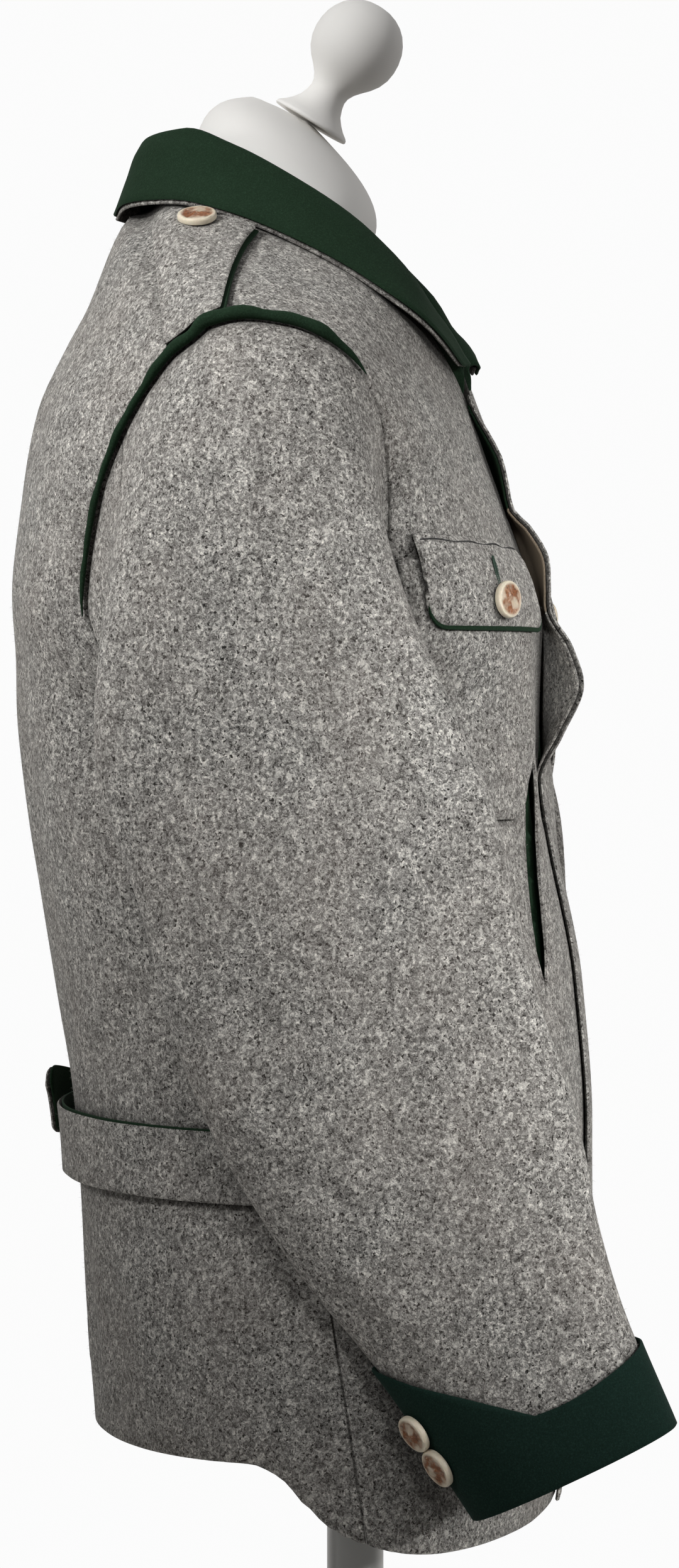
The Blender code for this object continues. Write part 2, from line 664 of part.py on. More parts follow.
def build_belt():
    """Two halves from the side seams. The left one's end stands off over the right one's."""
    runs = {
        RIGHT: np.array([-0.05, -0.02, 0.03, 0.1, 0.2, 0.32, 0.44, 0.56, 0.68, 0.78, 0.87, 0.94, 0.975]),
        LEFT: np.array([0.0, 0.035, 0.1, 0.2, 0.32, 0.44, 0.56, 0.68, 0.78, 0.87, 0.94, 0.975]),
    }
    for side, run in runs.items():
        name = SIDE_NAMES[side]
        grid, normals = [], []
        for height in np.linspace(BELT_BOTTOM, BELT_TOP, 3):
            points, facing = [], []
            for share in run:
                panel = PANELS["back", side if share >= 0 else -side]
                level = panel.level_at(abs(share), height + 5 * ease(1 - share))
                points.append(panel.point(level, abs(share)))
                facing.append(panel.normal(level, abs(share)))
            grid.append(points)
            normals.append(facing)
        grid, normals = np.array(grid), np.array(normals)
        lift = 1.8 + BELT_STAND_OFF * ease(1.15 - run)
        lift[-1] -= 0.8
        if side == LEFT:
            flare = ease(1 - run / 0.3)
            lift = lift + BELT_TAB_FLARE * flare
            grid[..., 2] += 16 * flare
        base = grid + normals * lift[:, None]
        for k, inset in ((0, 7.0), (1, 1.5)):
            base[0, k, 2] += inset
            base[-1, k, 2] -= inset
        wall(f"belt_lining_{name}", base + normals * LINING, base, felt())
        over = base + normals * (LINING + SEAM_GAP)
        over[-1, :, 2] -= 1.6
        wall(f"half_belt_{name}", over + normals * LODEN, over, loden())


# ---------------------------------------------------------------- shoulders


def shoulder_point(side, x, y):
    """Point and normal of the shoulder above a place, from whichever panel covers it."""
    best = None
    for part in ("back", "front"):
        panel = PANELS[part, side]
        rows = slice(9 * panel.ROWS, None)
        points = panel.points[rows]
        off = (points[..., 0] - side * x) ** 2 + (points[..., 1] - y) ** 2
        k = np.unravel_index(np.argmin(off), off.shape)
        if best is None or off[k] < best[0]:
            best = (off[k], points[k], panel.normals[rows][k])
    _, near, normal = best
    z = near[2] - (normal[0] * (side * x - near[0]) + normal[1] * (y - near[1])) / normal[2]
    return np.array([side * x, y, z]), normal


def armhole_x(y):
    """How far out the armhole lies at this depth, over the shoulder."""
    edge = np.vstack([PANELS[part, LEFT].points[9 * Panel.ROWS :, -1] for part in ("front", "back")])
    edge = edge[np.argsort(edge[:, 1])]
    return float(np.interp(y, edge[:, 1], edge[:, 0]))


def build_straps():
    for side in (RIGHT, LEFT):
        name = SIDE_NAMES[side]
        grid = np.empty((6, 5, 3))
        for i, along in enumerate(np.linspace(0, 1, 6)):
            middle = 60.0 + 10.0 * along
            half = STRAP_HALF_OUTER + (STRAP_HALF_INNER - STRAP_HALF_OUTER) * along
            for j, lane in enumerate((-1.0, -0.5, 0.0, 0.5, 1.0)):
                y = middle + lane * half
                outer = armhole_x(middle - 8 + lane * STRAP_HALF_OUTER) - 2 * ROLL_RADIUS - 2
                inner = STRAP_INNER + 4.5 * (1 - lane)
                grid[i, j] = shoulder_point(side, outer + (inner - outer) * along, y)[0]
        rest_on_shoulder(grid, side, 1.9)
        normals = grid_normals(grid)
        normals *= np.sign(normals[..., 2:])
        edge = grid.copy()
        edge[:, 0] += unit(grid[:, 0] - grid[:, 1]) * STRAP_EDGE
        edge[:, -1] += unit(grid[:, -1] - grid[:, -2]) * STRAP_EDGE
        wall(f"strap_edge_{name}", edge + normals * 1.4, edge, felt())
        base = grid + normals * 2.1
        wall(f"shoulder_strap_{name}", base + normals * LODEN, base, loden())


def rest_on_shoulder(grid, side, gap):
    """Lifts a grid until its points and the lines between them clear the shoulder by the gap."""
    rows, columns = grid.shape[:2]
    pairs = [((i, j), (i, j)) for i in range(rows) for j in range(columns)]
    for down, across in ((0, 1), (1, 0), (1, 1)):
        for i in range(rows - down):
            pairs += [((i, j), (i + down, j + across)) for j in range(columns - across)]
    for _ in range(3):
        for first, second in pairs:
            middle = (grid[first] + grid[second]) / 2
            under = shoulder_point(side, abs(middle[0]), middle[1])[0]
            short = under[2] + gap - middle[2]
            if short > 0:
                grid[first][2] += short
                if first != second:
                    grid[second][2] += short


# ---------------------------------------------------------------- sleeves

CAP_RINGS = 6
SLEEVE_RINGS = 9


def armhole_ring(grids, side):
    """The armhole once round: from the tip by way of the front to the armpit, and up the back.
    Gives its points, the cloth's normals and the way out of the armhole."""
    ring = []
    for kind in range(2):
        halves = []
        for part in ("front", "back"):
            grid, normals = grids[part, side]
            rows = np.s_[ARMPIT:, -1]
            halves.append((grid[rows], normals[rows])[kind][::-1].copy())
        for end in (0, -1):
            halves[0][end] = (halves[0][end] + halves[1][end]) / 2
        ring.append(np.concatenate([halves[0], halves[1][::-1][1:-1]]))
    points, normals = ring[0], unit(ring[1])
    outward = unit(np.cross(np.roll(points, -1, axis=0) - np.roll(points, 1, axis=0), normals))
    return points, normals, outward * np.sign(outward[0, 0] * side)


def sleeve_ring(side, at, grow=0.0):
    """One ring of the sleeve's outer face. It starts on the outer side and goes by way of the front."""
    knots = np.arange(len(SLEEVE["x"]), dtype=float)
    value = {name: float(smooth(knots, values, at)) for name, values in SLEEVE.items()}
    centre = np.array([value["x"], value["y"], value["z"]])
    if side == LEFT:
        centre += [value["out"], value["back"], 0.0]
        value["lean"] -= value["upright"]
    lean = math.radians(value["lean"])
    across = np.array([0.0, -math.cos(lean), math.sin(lean)])
    turns = np.linspace(0, math.pi, 181)
    fullness = 2 / 2.25
    out = np.sign(np.cos(turns)) * np.abs(np.cos(turns)) ** fullness * (value["through"] + grow)
    wide = np.sin(turns) ** fullness * (value["across"] + grow)
    outwards = centre + out[:, None] * np.array([1.0, 0.0, 0.0])
    front = evenly(outwards + wide[:, None] * across, RING_HALF + 1)
    back = evenly(outwards - wide[:, None] * across, RING_HALF + 1)
    return np.concatenate([front, back[::-1][1:-1]]) * np.array([side, 1, 1])


def sleeve_grid(grids, side):
    """Rings of the sleeve's outer face, from the armhole to the end of the cuff, and their normals."""
    ring, normals, outward = armhole_ring(grids, side)
    start = ring + outward * (SEAM_GAP + 0.3)
    first, second = sleeve_ring(side, 0), sleeve_ring(side, 0.5)
    count = len(start)
    turns = np.arange(count) / count * 2 * math.pi
    top = (1 + np.cos(turns)) / 2
    away = np.column_stack([side * (0.45 + 0.35 * top), -0.12 * np.sin(turns), -0.9 + 0.3 * top])
    away = unit(away + 0.6 * outward * (0.4 + top[:, None]))
    along = unit(second - first)
    span = np.linalg.norm(first - start, axis=1)[:, None]
    rings = []
    for k in range(CAP_RINGS):
        t = k / CAP_RINGS
        rings.append(
            (1 + 2 * t) * (1 - t) ** 2 * start
            + t * (1 - t) ** 2 * away * span * 0.75
            + t * t * (3 - 2 * t) * first
            + t * t * (t - 1) * along * span * 0.9
        )
    rings += [sleeve_ring(side, at) for at in np.linspace(0, len(SLEEVE["x"]) - 1, SLEEVE_RINGS)]
    grid = np.array(rings)
    found = grid_normals(grid, closed=True)
    if (found * (grid - grid.mean(axis=1, keepdims=True))).sum() < 0:
        found = -found
    seam_side = found[0].copy()
    found[0] = normals
    found[1] = unit(found[1] + 0.5 * normals)
    return grid, found, seam_side


def build_sleeves(grids):
    for side in (RIGHT, LEFT):
        name = SIDE_NAMES[side]
        grid, normals, seam_side = sleeve_grid(grids, side)
        inner = grid - normals * LODEN
        grid[-1] += (grid[-2] - grid[-1]) * 0.03
        inner[-1] += (inner[-2] - inner[-1]) * 0.03
        # Seams at the front and at the back part the top sleeve from the under sleeve
        half, count = RING_HALF // 2 + 1, grid.shape[1]
        top = np.r_[np.arange(count - half, count), np.arange(0, half + 1)]
        under = np.arange(half, count - half + 1)
        for piece, columns in (("top_sleeve", top), ("under_sleeve", under)):
            faces = []
            for lattice in (grid, inner):
                face = lattice[:, columns].copy()
                for edge, beside in ((0, 1), (-1, -2)):
                    face[:, edge] += unit(face[:, beside] - face[:, edge]) * SEAM_GAP / 2
                faces.append(face)
            wall(f"{piece}_{name}", faces[0], faces[1], loden())
        build_cuff(side, name)
        build_roll(grids, side, seam_side)


def build_cuff(side, name):
    """A felt cuff over the end of the sleeve, its top edge cut to a V on the outer side."""
    end = len(SLEEVE["x"]) - 1.0
    count = 2 * RING_HALF
    heights = smooth(CUFF_EDGE["turn"], CUFF_EDGE["height"], np.arange(count) / count)
    fine = np.array([sleeve_ring(side, at) for at in np.linspace(end, CUFF_FROM, 41)])
    shares = (0.0, 0.33, 0.67, 1.0)
    grid = np.empty((len(shares), count, 3))
    for j in range(count):
        line = fine[:, j]
        lengths = np.r_[0, np.cumsum(np.linalg.norm(np.diff(line, axis=0), axis=1))]
        for i, share in enumerate(shares):
            grid[i, j] = [np.interp(heights[j] * share, lengths, line[:, k]) for k in range(3)]
    normals = grid_normals(grid, closed=True)
    if (normals * (grid - grid.mean(axis=1, keepdims=True))).sum() < 0:
        normals = -normals
    cloth(f"cuff_{name}", grid, normals, FELT, felt(), lift=1.1, closed=True)
    place = int(0.75 * count)
    for k, share in enumerate((0.30, 0.56)):
        at = grid[0, place] + (grid[-1, place] - grid[0, place]) * share
        facing = normals[1, place] + np.array([side * 0.12, 0, 0])
        seat = FELT + (1.4 if side == LEFT else 0.95)
        button(f"cuff_button_{k + 1}_{name}", at + normals[1, place] * seat, facing, CUFF_BUTTON)


def build_roll(grids, side, seam_side):
    """A felt roll over the shoulder part of the armhole seam, thinning down the back."""
    ring, normals, _ = armhole_ring(grids, side)
    count = len(ring)
    run = [*range(count - 10, count), *range(0, 6)]
    lengths = np.r_[0, np.cumsum(np.linalg.norm(np.diff(ring[run], axis=0), axis=1))]
    share = lengths / lengths[-1]
    size = table("share size", (0, 0.25), (0.1, 0.42), (0.35, 0.55), (0.6, 1), (0.88, 1), (1, 0.3))
    radii = ROLL_RADIUS * smooth(size["share"], size["size"], share)
    facing = unit(normals[run] + seam_side[run])
    cosine = np.clip((facing * normals[run]).sum(axis=1), 0.5, 1)
    path = ring[run] + facing * ((radii + 1.0) / cosine)[:, None]
    tube(f"armhole_roll_{SIDE_NAMES[side]}", path, radii, 6, felt())


# ---------------------------------------------------------------- collar


def neck_points(back, front):
    """The neck seam from the nape to the neck pit, with a point added in each of its longest steps."""
    line = np.vstack([back[ARMPIT + 9 :, 0], front[NECK_PIT:, 0][::-1][1:]])
    line[-1] = line[-1] * 0.9 + line[-2] * 0.1
    for _ in range(4):
        k = int(np.argmax(np.linalg.norm(np.diff(line, axis=0), axis=1)))
        line = np.insert(line, k + 1, (line[k] + line[k + 1]) / 2, axis=0)
    return line


def collar_sections(grids, side):
    """Seam, fold and leaf edge at each station from the nape to the front end."""
    back, plain = grids["back", side][0], grids["front", side][0]
    seam = neck_points(back, plain)
    run = np.r_[0, np.cumsum(np.linalg.norm(np.diff(seam, axis=0), axis=1))]
    run /= run[-1]
    # Over the lap the collar moves forward and up with the left front
    moved = neck_points(back, lapped(grids, side)[0][:, 1:])
    sections = [moved]
    for line in ("fold", "edge"):
        points = np.column_stack([smooth(COLLAR["run"], COLLAR[line + axis], run) for axis in "xyz"])
        sections.append(points * [side, 1, 1] + (moved - seam))
    return sections


def build_collar(grids):
    sections = {side: collar_sections(grids, side) for side in (RIGHT, LEFT)}
    seam, fold, edge = [np.vstack([sections[RIGHT][k][::-1], sections[LEFT][k][1:]]) for k in range(3)]
    rise, fall = unit(fold - seam), unit(edge - fold)
    spread = unit(np.cross(np.gradient(fold, axis=0), rise))
    outward = fold - np.array([0.0, 25.0, 0.0])
    outward[:, 2] = 0
    spread = spread * np.sign((spread * outward).sum(axis=1))[:, None]
    start = seam + rise * 0.9 - spread * 1.1
    grid = np.array([
        start,
        start + (fold - start) * 0.5,
        fold - rise * 5.0 - spread * 1.0,
        fold - rise * 1.5 + spread * 0.4,
        fold + spread * 3.4,
        fold + fall * 5.5 + spread * 5.2,
        fold + (edge - fold) * 0.55 + spread * 3.6,
        edge + spread * 1.2,
    ])
    normals = grid_normals(grid)
    if (normals[2] * -spread).sum() < 0:
        normals = -normals
    wall("collar", grid + normals * FELT / 2, grid - normals * FELT / 2, felt())
    # Under-collar: against the inner face of the leaf, and just longer than it
    leaf = grid[5:] - normals[5:] * (FELT / 2 + 0.5)
    leaf[0] = leaf[0] * 0.75 + leaf[1] * 0.25
    leaf[2] += unit(leaf[2] - leaf[1]) * 1.5
    wall("under_collar", leaf, leaf - normals[5:] * 1.6, loden())


# ---------------------------------------------------------------- buttons


def button(name, at, facing, across):
    """A thick horn disc with a rounded edge and a dished face, its back at `at`."""
    facing = unit(np.asarray(facing, float))
    helper = np.array([0.0, 0.0, 1.0]) if abs(facing[2]) < 0.9 else np.array([0.0, 1.0, 0.0])
    sideways = unit(np.cross(helper, facing))
    upward = np.cross(facing, sideways)
    radius = across / 2
    profile = table(
        "radius height",
        (0.7, 0.0), (1.0, 0.35), (0.95, 0.85), (0.8, 1.0), (0.55, 0.92),
    )
    turns = np.linspace(0, 2 * math.pi, 12, endpoint=False)
    rings = [
        at
        + facing * height * BUTTON_THICK
        + radius * share * (np.cos(turns)[:, None] * sideways + np.sin(turns)[:, None] * upward)
        for share, height in zip(profile["radius"], profile["height"])
    ]
    return capped(name, np.array(rings), horn())


def build_buttons():
    for side in (RIGHT, LEFT):
        name = SIDE_NAMES[side]
        point, normal = shoulder_point(side, 113.0, 70.0)
        lift = 3.6 + LODEN + 1.0
        button(f"strap_button_{name}", point + normal * lift, normal, STRAP_BUTTON)
        panel = PANELS["front", side]
        level, share = panel.place((FLAP_NEAR + FLAP_FAR) / 2 - 4, FLAP_BOTTOM + 12.5)
        point, normal = panel.point(level, share), panel.normal(level, share)
        lift = POCKET_STAND_OFF + 2 * LODEN + 3.1
        facing = normal + np.array([side * 0.25, 0, 0])
        button(f"flap_button_{name}", point + normal * lift, facing, FLAP_BUTTON)


# ---------------------------------------------------------------- dress form and stand


def build_form():
    turns = np.linspace(0, 2 * math.pi, 24, endpoint=False)
    rings = []
    for k in range(len(FORM["z"])):
        power = 2 / FORM["power"][k]
        x = np.sign(np.cos(turns)) * np.abs(np.cos(turns)) ** power * FORM["wide"][k]
        y = np.sign(np.sin(turns)) * np.abs(np.sin(turns)) ** power * FORM["deep"][k] + FORM["y"][k]
        z = np.full(len(turns), FORM["z"][k])
        if FORM["z"][k] > 860:
            tip = (FORM["z"][k] - 860) / 74
            z = z + (y - FORM["y"][k]) * 0.48 * tip
        rings.append(np.column_stack([x, y, z]))
    white = material("white form cover", FORM_WHITE, 0.8)
    capped("form_torso", np.array(rings), white)

    lean = math.radians(KNOB_LEAN)
    axis = np.array([0.0, -math.sin(lean), math.cos(lean)])
    beside = np.array([1.0, 0.0, 0.0])
    forth = np.cross(axis, beside)
    turns = np.linspace(0, 2 * math.pi, 16, endpoint=False)
    foot = np.array([0.0, KNOB_BASE_Y, KNOB_BASE_Z])
    rings = [
        foot + axis * height + radius * (np.cos(turns)[:, None] * beside + np.sin(turns)[:, None] * forth)
        for radius, height in zip(KNOB["radius"], KNOB["height"])
    ]
    capped("form_knob", np.array(rings), white)


def turned(name, profile, sides, finish, centre=(0.0, 0.0)):
    turns = np.linspace(0, 2 * math.pi, sides, endpoint=False)
    rings = [
        np.column_stack([
            centre[0] + radius * np.cos(turns), centre[1] + radius * np.sin(turns), np.full(sides, height)
        ])
        for radius, height in profile
    ]
    return capped(name, np.array(rings), finish)


def build_stand():
    metal = material("satin metal", STAND_GREY, 0.4)
    turned(
        "stand_base",
        (
            (BASE_RADIUS - 1.5, 0), (BASE_RADIUS, 1.5),
            (BASE_RADIUS, BASE_THICK - 2), (BASE_RADIUS - 2, BASE_THICK),
        ),
        36,
        metal,
    )
    turned(
        "stand_pole",
        (
            (28, BASE_THICK + SEAM_GAP), (28, BASE_THICK + 6), (POLE_RADIUS + 1, BASE_THICK + 10),
            (POLE_RADIUS, BASE_THICK + 12), (POLE_RADIUS, FORM_BOTTOM - SEAM_GAP),
        ),
        20,
        metal,
    )


def main():
    for obj in list(bpy.data.objects):
        bpy.data.objects.remove(obj)
    grids = {key: panel_grid(panel) for key, panel in PANELS.items()}
    for side in (RIGHT, LEFT):
        join_seams(grids["back", side], grids["front", side])
    build_stand()
    build_form()
    build_backs(grids)
    build_fronts(grids)
    build_front_facings(grids)
    build_facings()
    build_pockets()
    build_belt()
    build_sleeves(grids)
    build_collar(grids)
    build_straps()
    build_buttons()


main()
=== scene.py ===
"""A grey loden jacket with green felt trim on a limbless dress form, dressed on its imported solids.

The body of the jacket is a surface of rows, each from the centre line (or the neckline) out to the side seam
(or the armhole). A place on the cloth is given by its row and by how far along the row it lies. Every cloth
piece is a fine sheet of that surface with a wall of its real thickness, moved by the creases in the tables.
Lengths in the tables are in millimetres. The front faces -Y and the jacket's right side is -X.
"""

import math

import bmesh
import bpy
import numpy as np
from mathutils import Matrix, Vector


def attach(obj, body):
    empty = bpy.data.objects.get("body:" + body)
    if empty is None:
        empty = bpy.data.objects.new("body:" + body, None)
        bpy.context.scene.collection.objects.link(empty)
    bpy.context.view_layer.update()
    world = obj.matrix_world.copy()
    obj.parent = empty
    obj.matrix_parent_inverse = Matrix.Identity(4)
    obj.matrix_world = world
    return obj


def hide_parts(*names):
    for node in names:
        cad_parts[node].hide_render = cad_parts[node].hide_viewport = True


bl_info = {
    "name": "Loden jacket on a dress form",
    "version": (1, 0, 0),
    "blender": (4, 5, 0),
    "location": "3D View > Sidebar > Jacket",
    "description": "Makes the cloth, trims, buttons, dress form, stand and studio of a loden jacket",
    "category": "Object",
}

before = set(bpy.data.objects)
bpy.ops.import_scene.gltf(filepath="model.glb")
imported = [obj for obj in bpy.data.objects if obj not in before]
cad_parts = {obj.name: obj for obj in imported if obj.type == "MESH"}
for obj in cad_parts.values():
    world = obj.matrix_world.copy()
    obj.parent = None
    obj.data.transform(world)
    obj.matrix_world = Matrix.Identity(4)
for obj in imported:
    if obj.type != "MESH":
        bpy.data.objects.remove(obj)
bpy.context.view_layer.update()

MM = 0.001
RIGHT, LEFT = -1, 1
SIDE_NAMES = {RIGHT: "right", LEFT: "left"}
BODY = "root"


def linear(hex_colour):
    """A colour written as sRGB hex, as the linear values that shaders take."""
    values = [int(hex_colour[i : i + 2], 16) / 255 for i in (1, 3, 5)]
    return tuple(v / 12.92 if v <= 0.04045 else ((v + 0.055) / 1.055) ** 2.4 for v in values)


# ---------------------------------------------------------------- settings


def length(name, description, default, top=0.5):
    """A setting in metres."""
    return bpy.props.FloatProperty(
        name=name, description=description, default=default, min=0.0, max=top, unit="LENGTH", precision=4
    )


def colour(name, description, hex_colour):
    """A colour setting, kept as linear values."""
    return bpy.props.FloatVectorProperty(
        name=name, description=description, default=linear(hex_colour), min=0.0, max=1.0, size=3,
        subtype="COLOR",
    )


class JacketCloth(bpy.types.PropertyGroup):
    """Sizes of the cloth and what is sewn to it."""

    loden: length("Loden", "Thickness of the fulled wool", 0.0023, 0.004)
    felt: length("Felt", "Thickness of the green felt", 0.0018, 0.003)
    facing: length("Facing", "Thickness of the strips inside the front edge", 0.0012, 0.003)
    crease: bpy.props.FloatProperty(
        name="Creases", description="How deep the creases are, as a share of their own depth", default=1.0,
        min=0.0, max=1.5, subtype="FACTOR",
    )
    nap_length: length("Nap length", "Length of the loose hairs that stand out of the loden", 0.0034, 0.006)
    nap_density: bpy.props.FloatProperty(
        name="Nap density", description="Loose hairs on each square centimetre of loden", default=3.0,
        min=0.0, max=6.0,
    )
    relief: length("Button relief", "Depth of the bark-like relief on the horn buttons", 0.0009, 0.002)


class JacketColours(bpy.types.PropertyGroup):
    """Colours of the finishes."""

    loden_dark: colour("Loden, dark hairs", "Black-brown hairs in the melange", "#2b2927")
    loden_mid: colour("Loden, ground", "Grey ground of the melange", "#8b8985")
    loden_light: colour("Loden, light hairs", "Cream hairs in the melange", "#e9e6de")
    loden_warm: colour("Loden, warm cast", "Brownish cast that drifts over the cloth", "#8a8078")
    felt: colour("Felt", "Bottle green felt of collar and edges", "#1b2f1f")
    cuff: colour("Cuff felt", "Deeper green of the cuffs", "#142a23")
    taupe: colour("Facing cloth", "Smooth taupe strip inside the front edge", "#a3937f")
    thread: colour("Thread", "Green buttonhole thread", "#22402f")
    horn_cream: colour("Horn, cream", "Cut horn at a button's rim", "#efe3cb")
    horn_brown: colour("Horn, brown", "Bark-like brown crown of a button", "#83512f")
    form: colour("Form cover", "Off-white jersey of the dress form", "#f1efeb")
    stand: colour("Stand", "Satin lacquer of the stand", "#d9d9d6")
    floor: colour("Floor", "Pale studio floor", "#f0efec")


class JacketStudio(bpy.types.PropertyGroup):
    """Camera and light."""

    distance: length("Camera distance", "From the camera to the jacket's axis", 2.2, 6.0)
    height: length("Camera height", "Height of the camera above the floor", 0.551, 2.0)
    turn: bpy.props.FloatProperty(
        name="Camera turn", description="How far round to the front the camera stands from the right side",
        default=math.radians(8), min=0.0, max=math.radians(90), subtype="ANGLE",
    )
    lens: bpy.props.FloatProperty(
        name="Lens", description="Focal length on a 36 mm sensor", default=88.9, min=20.0, max=200.0,
        subtype="DISTANCE_CAMERA",
    )
    light: bpy.props.FloatProperty(
        name="Light", description="How bright the lights are, as a share of their own power", default=1.0,
        min=0.0, max=4.0,
    )
    floor_radius: length("Floor radius", "Radius of the pale round floor", 0.5, 5.0)


# ---------------------------------------------------------------- sizes of the cut


def table(columns, *rows):
    """Named columns of numbers, a row for each section."""
    return {name: np.array([row[i] for row in rows], float) for i, name in enumerate(columns.split())}


SEAM_GAP = 2.2  # between cut edges; their rounded rims all but meet
LODEN, FELT = 2.3, 1.8

# Front edges: the left front laps over the right one, and stands off it more where it has a facing inside
LAP_UNDER, LAP_OVER = 10.0, 12.0
LAP_RAMP, LAP_LIFT = 40.0, 3.1
FACING_FROM, FACING_RAMP, FACING_LIFT = 525.0, 22.0, 1.6
FACING_GAP, FACING_INSET = 0.5, 1.0

# Chest pocket and its flap, by distance along the cloth from the centre front, and height
POCKET_NEAR, POCKET_FAR = 64.0, 184.0
POCKET_BOTTOM, POCKET_TOP = 533.0, 668.0
POCKET_STAND_OFF, POCKET_CORNER = 2.6, 24.0
POCKET_ROWS = (POCKET_BOTTOM, 548.0, 572.0, 600.0, 628.0, POCKET_TOP)
# How far it stands off the front: by height, and by distance where that gives less
POCKET_LIFT = table("z lift", (POCKET_BOTTOM, 1.3), (540, 2.3), (552, 3.6), (645, 3.6), (POCKET_TOP, 1.3))
POCKET_SIDE_LIFT = table(
    "at lift", (POCKET_NEAR, 2.6), (POCKET_NEAR + 7, 3.6), (POCKET_FAR - 9, 3.6), (POCKET_FAR, 1.3)
)
FLAP_NEAR, FLAP_FAR = 50.0, 174.0
FLAP_BOTTOM, FLAP_MIDDLE, FLAP_FOLD, FLAP_TOP = 636.0, 651.0, 668.0, 681.0
FLAP_LIFT = table("z lift", (FLAP_BOTTOM, 1.3), (FLAP_MIDDLE, 1.6), (FLAP_FOLD, 0.2), (FLAP_TOP, 0))
FLAP_SEWN_LIFT = 1.3  # at its top, where it is stitched down
FLAP_CORNER, FLAP_EDGE = 12.0, 1.4
STITCH_INSET, STITCH_RADIUS = 2.2, 0.42
BUTTONHOLE_AT, BUTTONHOLE_Z = 113.5, 662.5
BUTTONHOLE_WIDE, BUTTONHOLE_TALL = 1.25, 8.2  # from its middle

# Hand-warmer slit below the chest pocket: its rear lip sinks in behind the front one
SLIT_UPPER_AT, SLIT_LOWER_AT, SLIT_WIDTH, SLIT_END_WIDTH = 49.0, 76.0, 6.0, 0.6
SLIT_TOP, SLIT_BOTTOM = 578.0, 432.0
SLIT_FRONT_SINK, SLIT_REAR_SINK = -1.4, 3.8
# The sinking begins this far below the slit and ends this far below its top, over these heights
SLIT_SINK_BELOW, SLIT_SINK_ABOVE = 6.0, 4.0
SLIT_SINK_LOW, SLIT_SINK_HIGH = 45.0, 25.0
SLIT_SINK_NEAR, SLIT_SINK_FAR = 15.0, 140.0  # it is gone at these distances from the centre
# The felt behind it reaches this far forward, back and past its ends, and lies this deep
SLIT_FELT_FORWARD, SLIT_FELT_BACK, SLIT_FELT_ENDS, SLIT_FELT_DEPTH = 13.0, 15.0, 5.0, 3.0

# Half belt: it stands off the back, dips to the side seam, and rises a little to the centre
BELT_TOP, BELT_BOTTOM, BELT_RISE = 370.0, 332.0, 5.0
BELT_GAP, BELT_STAND_OFF, BELT_SEWN_DIP = 1.8, 4.0, 0.8
BELT_CORNER, BELT_LINING, BELT_FELT_SHOWS = 9.0, 1.2, 1.6
# Its places from the centre back to the side seam; the right one runs past the centre, under the left one
BELT_ENDS = {RIGHT: (-0.05, -0.02, 0.03), LEFT: (0.0, 0.035)}
BELT_RUN = (0.1, 0.2, 0.32, 0.44, 0.56, 0.68, 0.78, 0.87, 0.94, 0.975)
# The left one's free end turns out and up
BELT_TAB, BELT_TAB_FLARE, BELT_TAB_RISE = 0.3, 13.0, 16.0

# Vent below the half belt: it opens over this height, and its left edge hangs back and is rounded more
VENT_TOP, VENT_EASE, VENT_PART, VENT_BACK = 328.0, 90.0, 1.0, 8.0
VENT_CORNER = {RIGHT: 30.0, LEFT: 38.0}
VENT_FADE = table("share part", (0, 1), (0.04, 0.9), (0.1, 0.65), (0.2, 0.3), (0.32, 0))

# Shoulder strap: the depth of its middle line at the armhole and how far that moves back to the collar
STRAP_MIDDLE, STRAP_MIDDLE_BACK = 60.0, 10.0
STRAP_INNER, STRAP_EDGE = 101.0, 2.6
STRAP_FRONT_OUTER, STRAP_REAR_OUTER, STRAP_REAR_INNER = 19.0, 10.0, 25.0  # from its middle to its edges
STRAP_FRONT_SWING = 11.0
STRAP_GAP, STRAP_FELT, STRAP_OVER_FELT = 1.9, 1.4, 2.1

# Armhole roll: its radius, and the share of it along the roll from the back up and over to the front
ROLL_RADIUS = 4.3
ROLL_SIZE = table(
    "share size", (0, 0.2), (0.1, 0.36), (0.35, 0.45), (0.52, 0.55), (0.66, 0.8), (0.86, 0.72), (1, 0.16)
)

MODEL_RADIUS = 0.0098  # of the button that all of them are copies of, in metres
HORN_BUTTONS = ("strap_button", "flap_button", "cuff_button_1", "cuff_button_2")
# The cuff's buttons sit round its rear edge on the outer side: how far from their solids, how much their
# faces turn outwards, and how far their shanks hold them off the felt
CUFF_BUTTON_MOVES = {"cuff_button_1": (18.5, -0.1, 6.0), "cuff_button_2": (18.5, -1.5, 3.6)}
CUFF_BUTTON_TIP, CUFF_BUTTON_SHANK = 0.86, 0.9

BASE_RADIUS, BASE_THICK, POLE_RADIUS, FORM_BOTTOM = 160.0, 12.0, 16.0, 222.0

ROW_COLUMNS = "cx cy cz ex ey ez fx1 fy1 fz1 fx2 fy2 fz2"

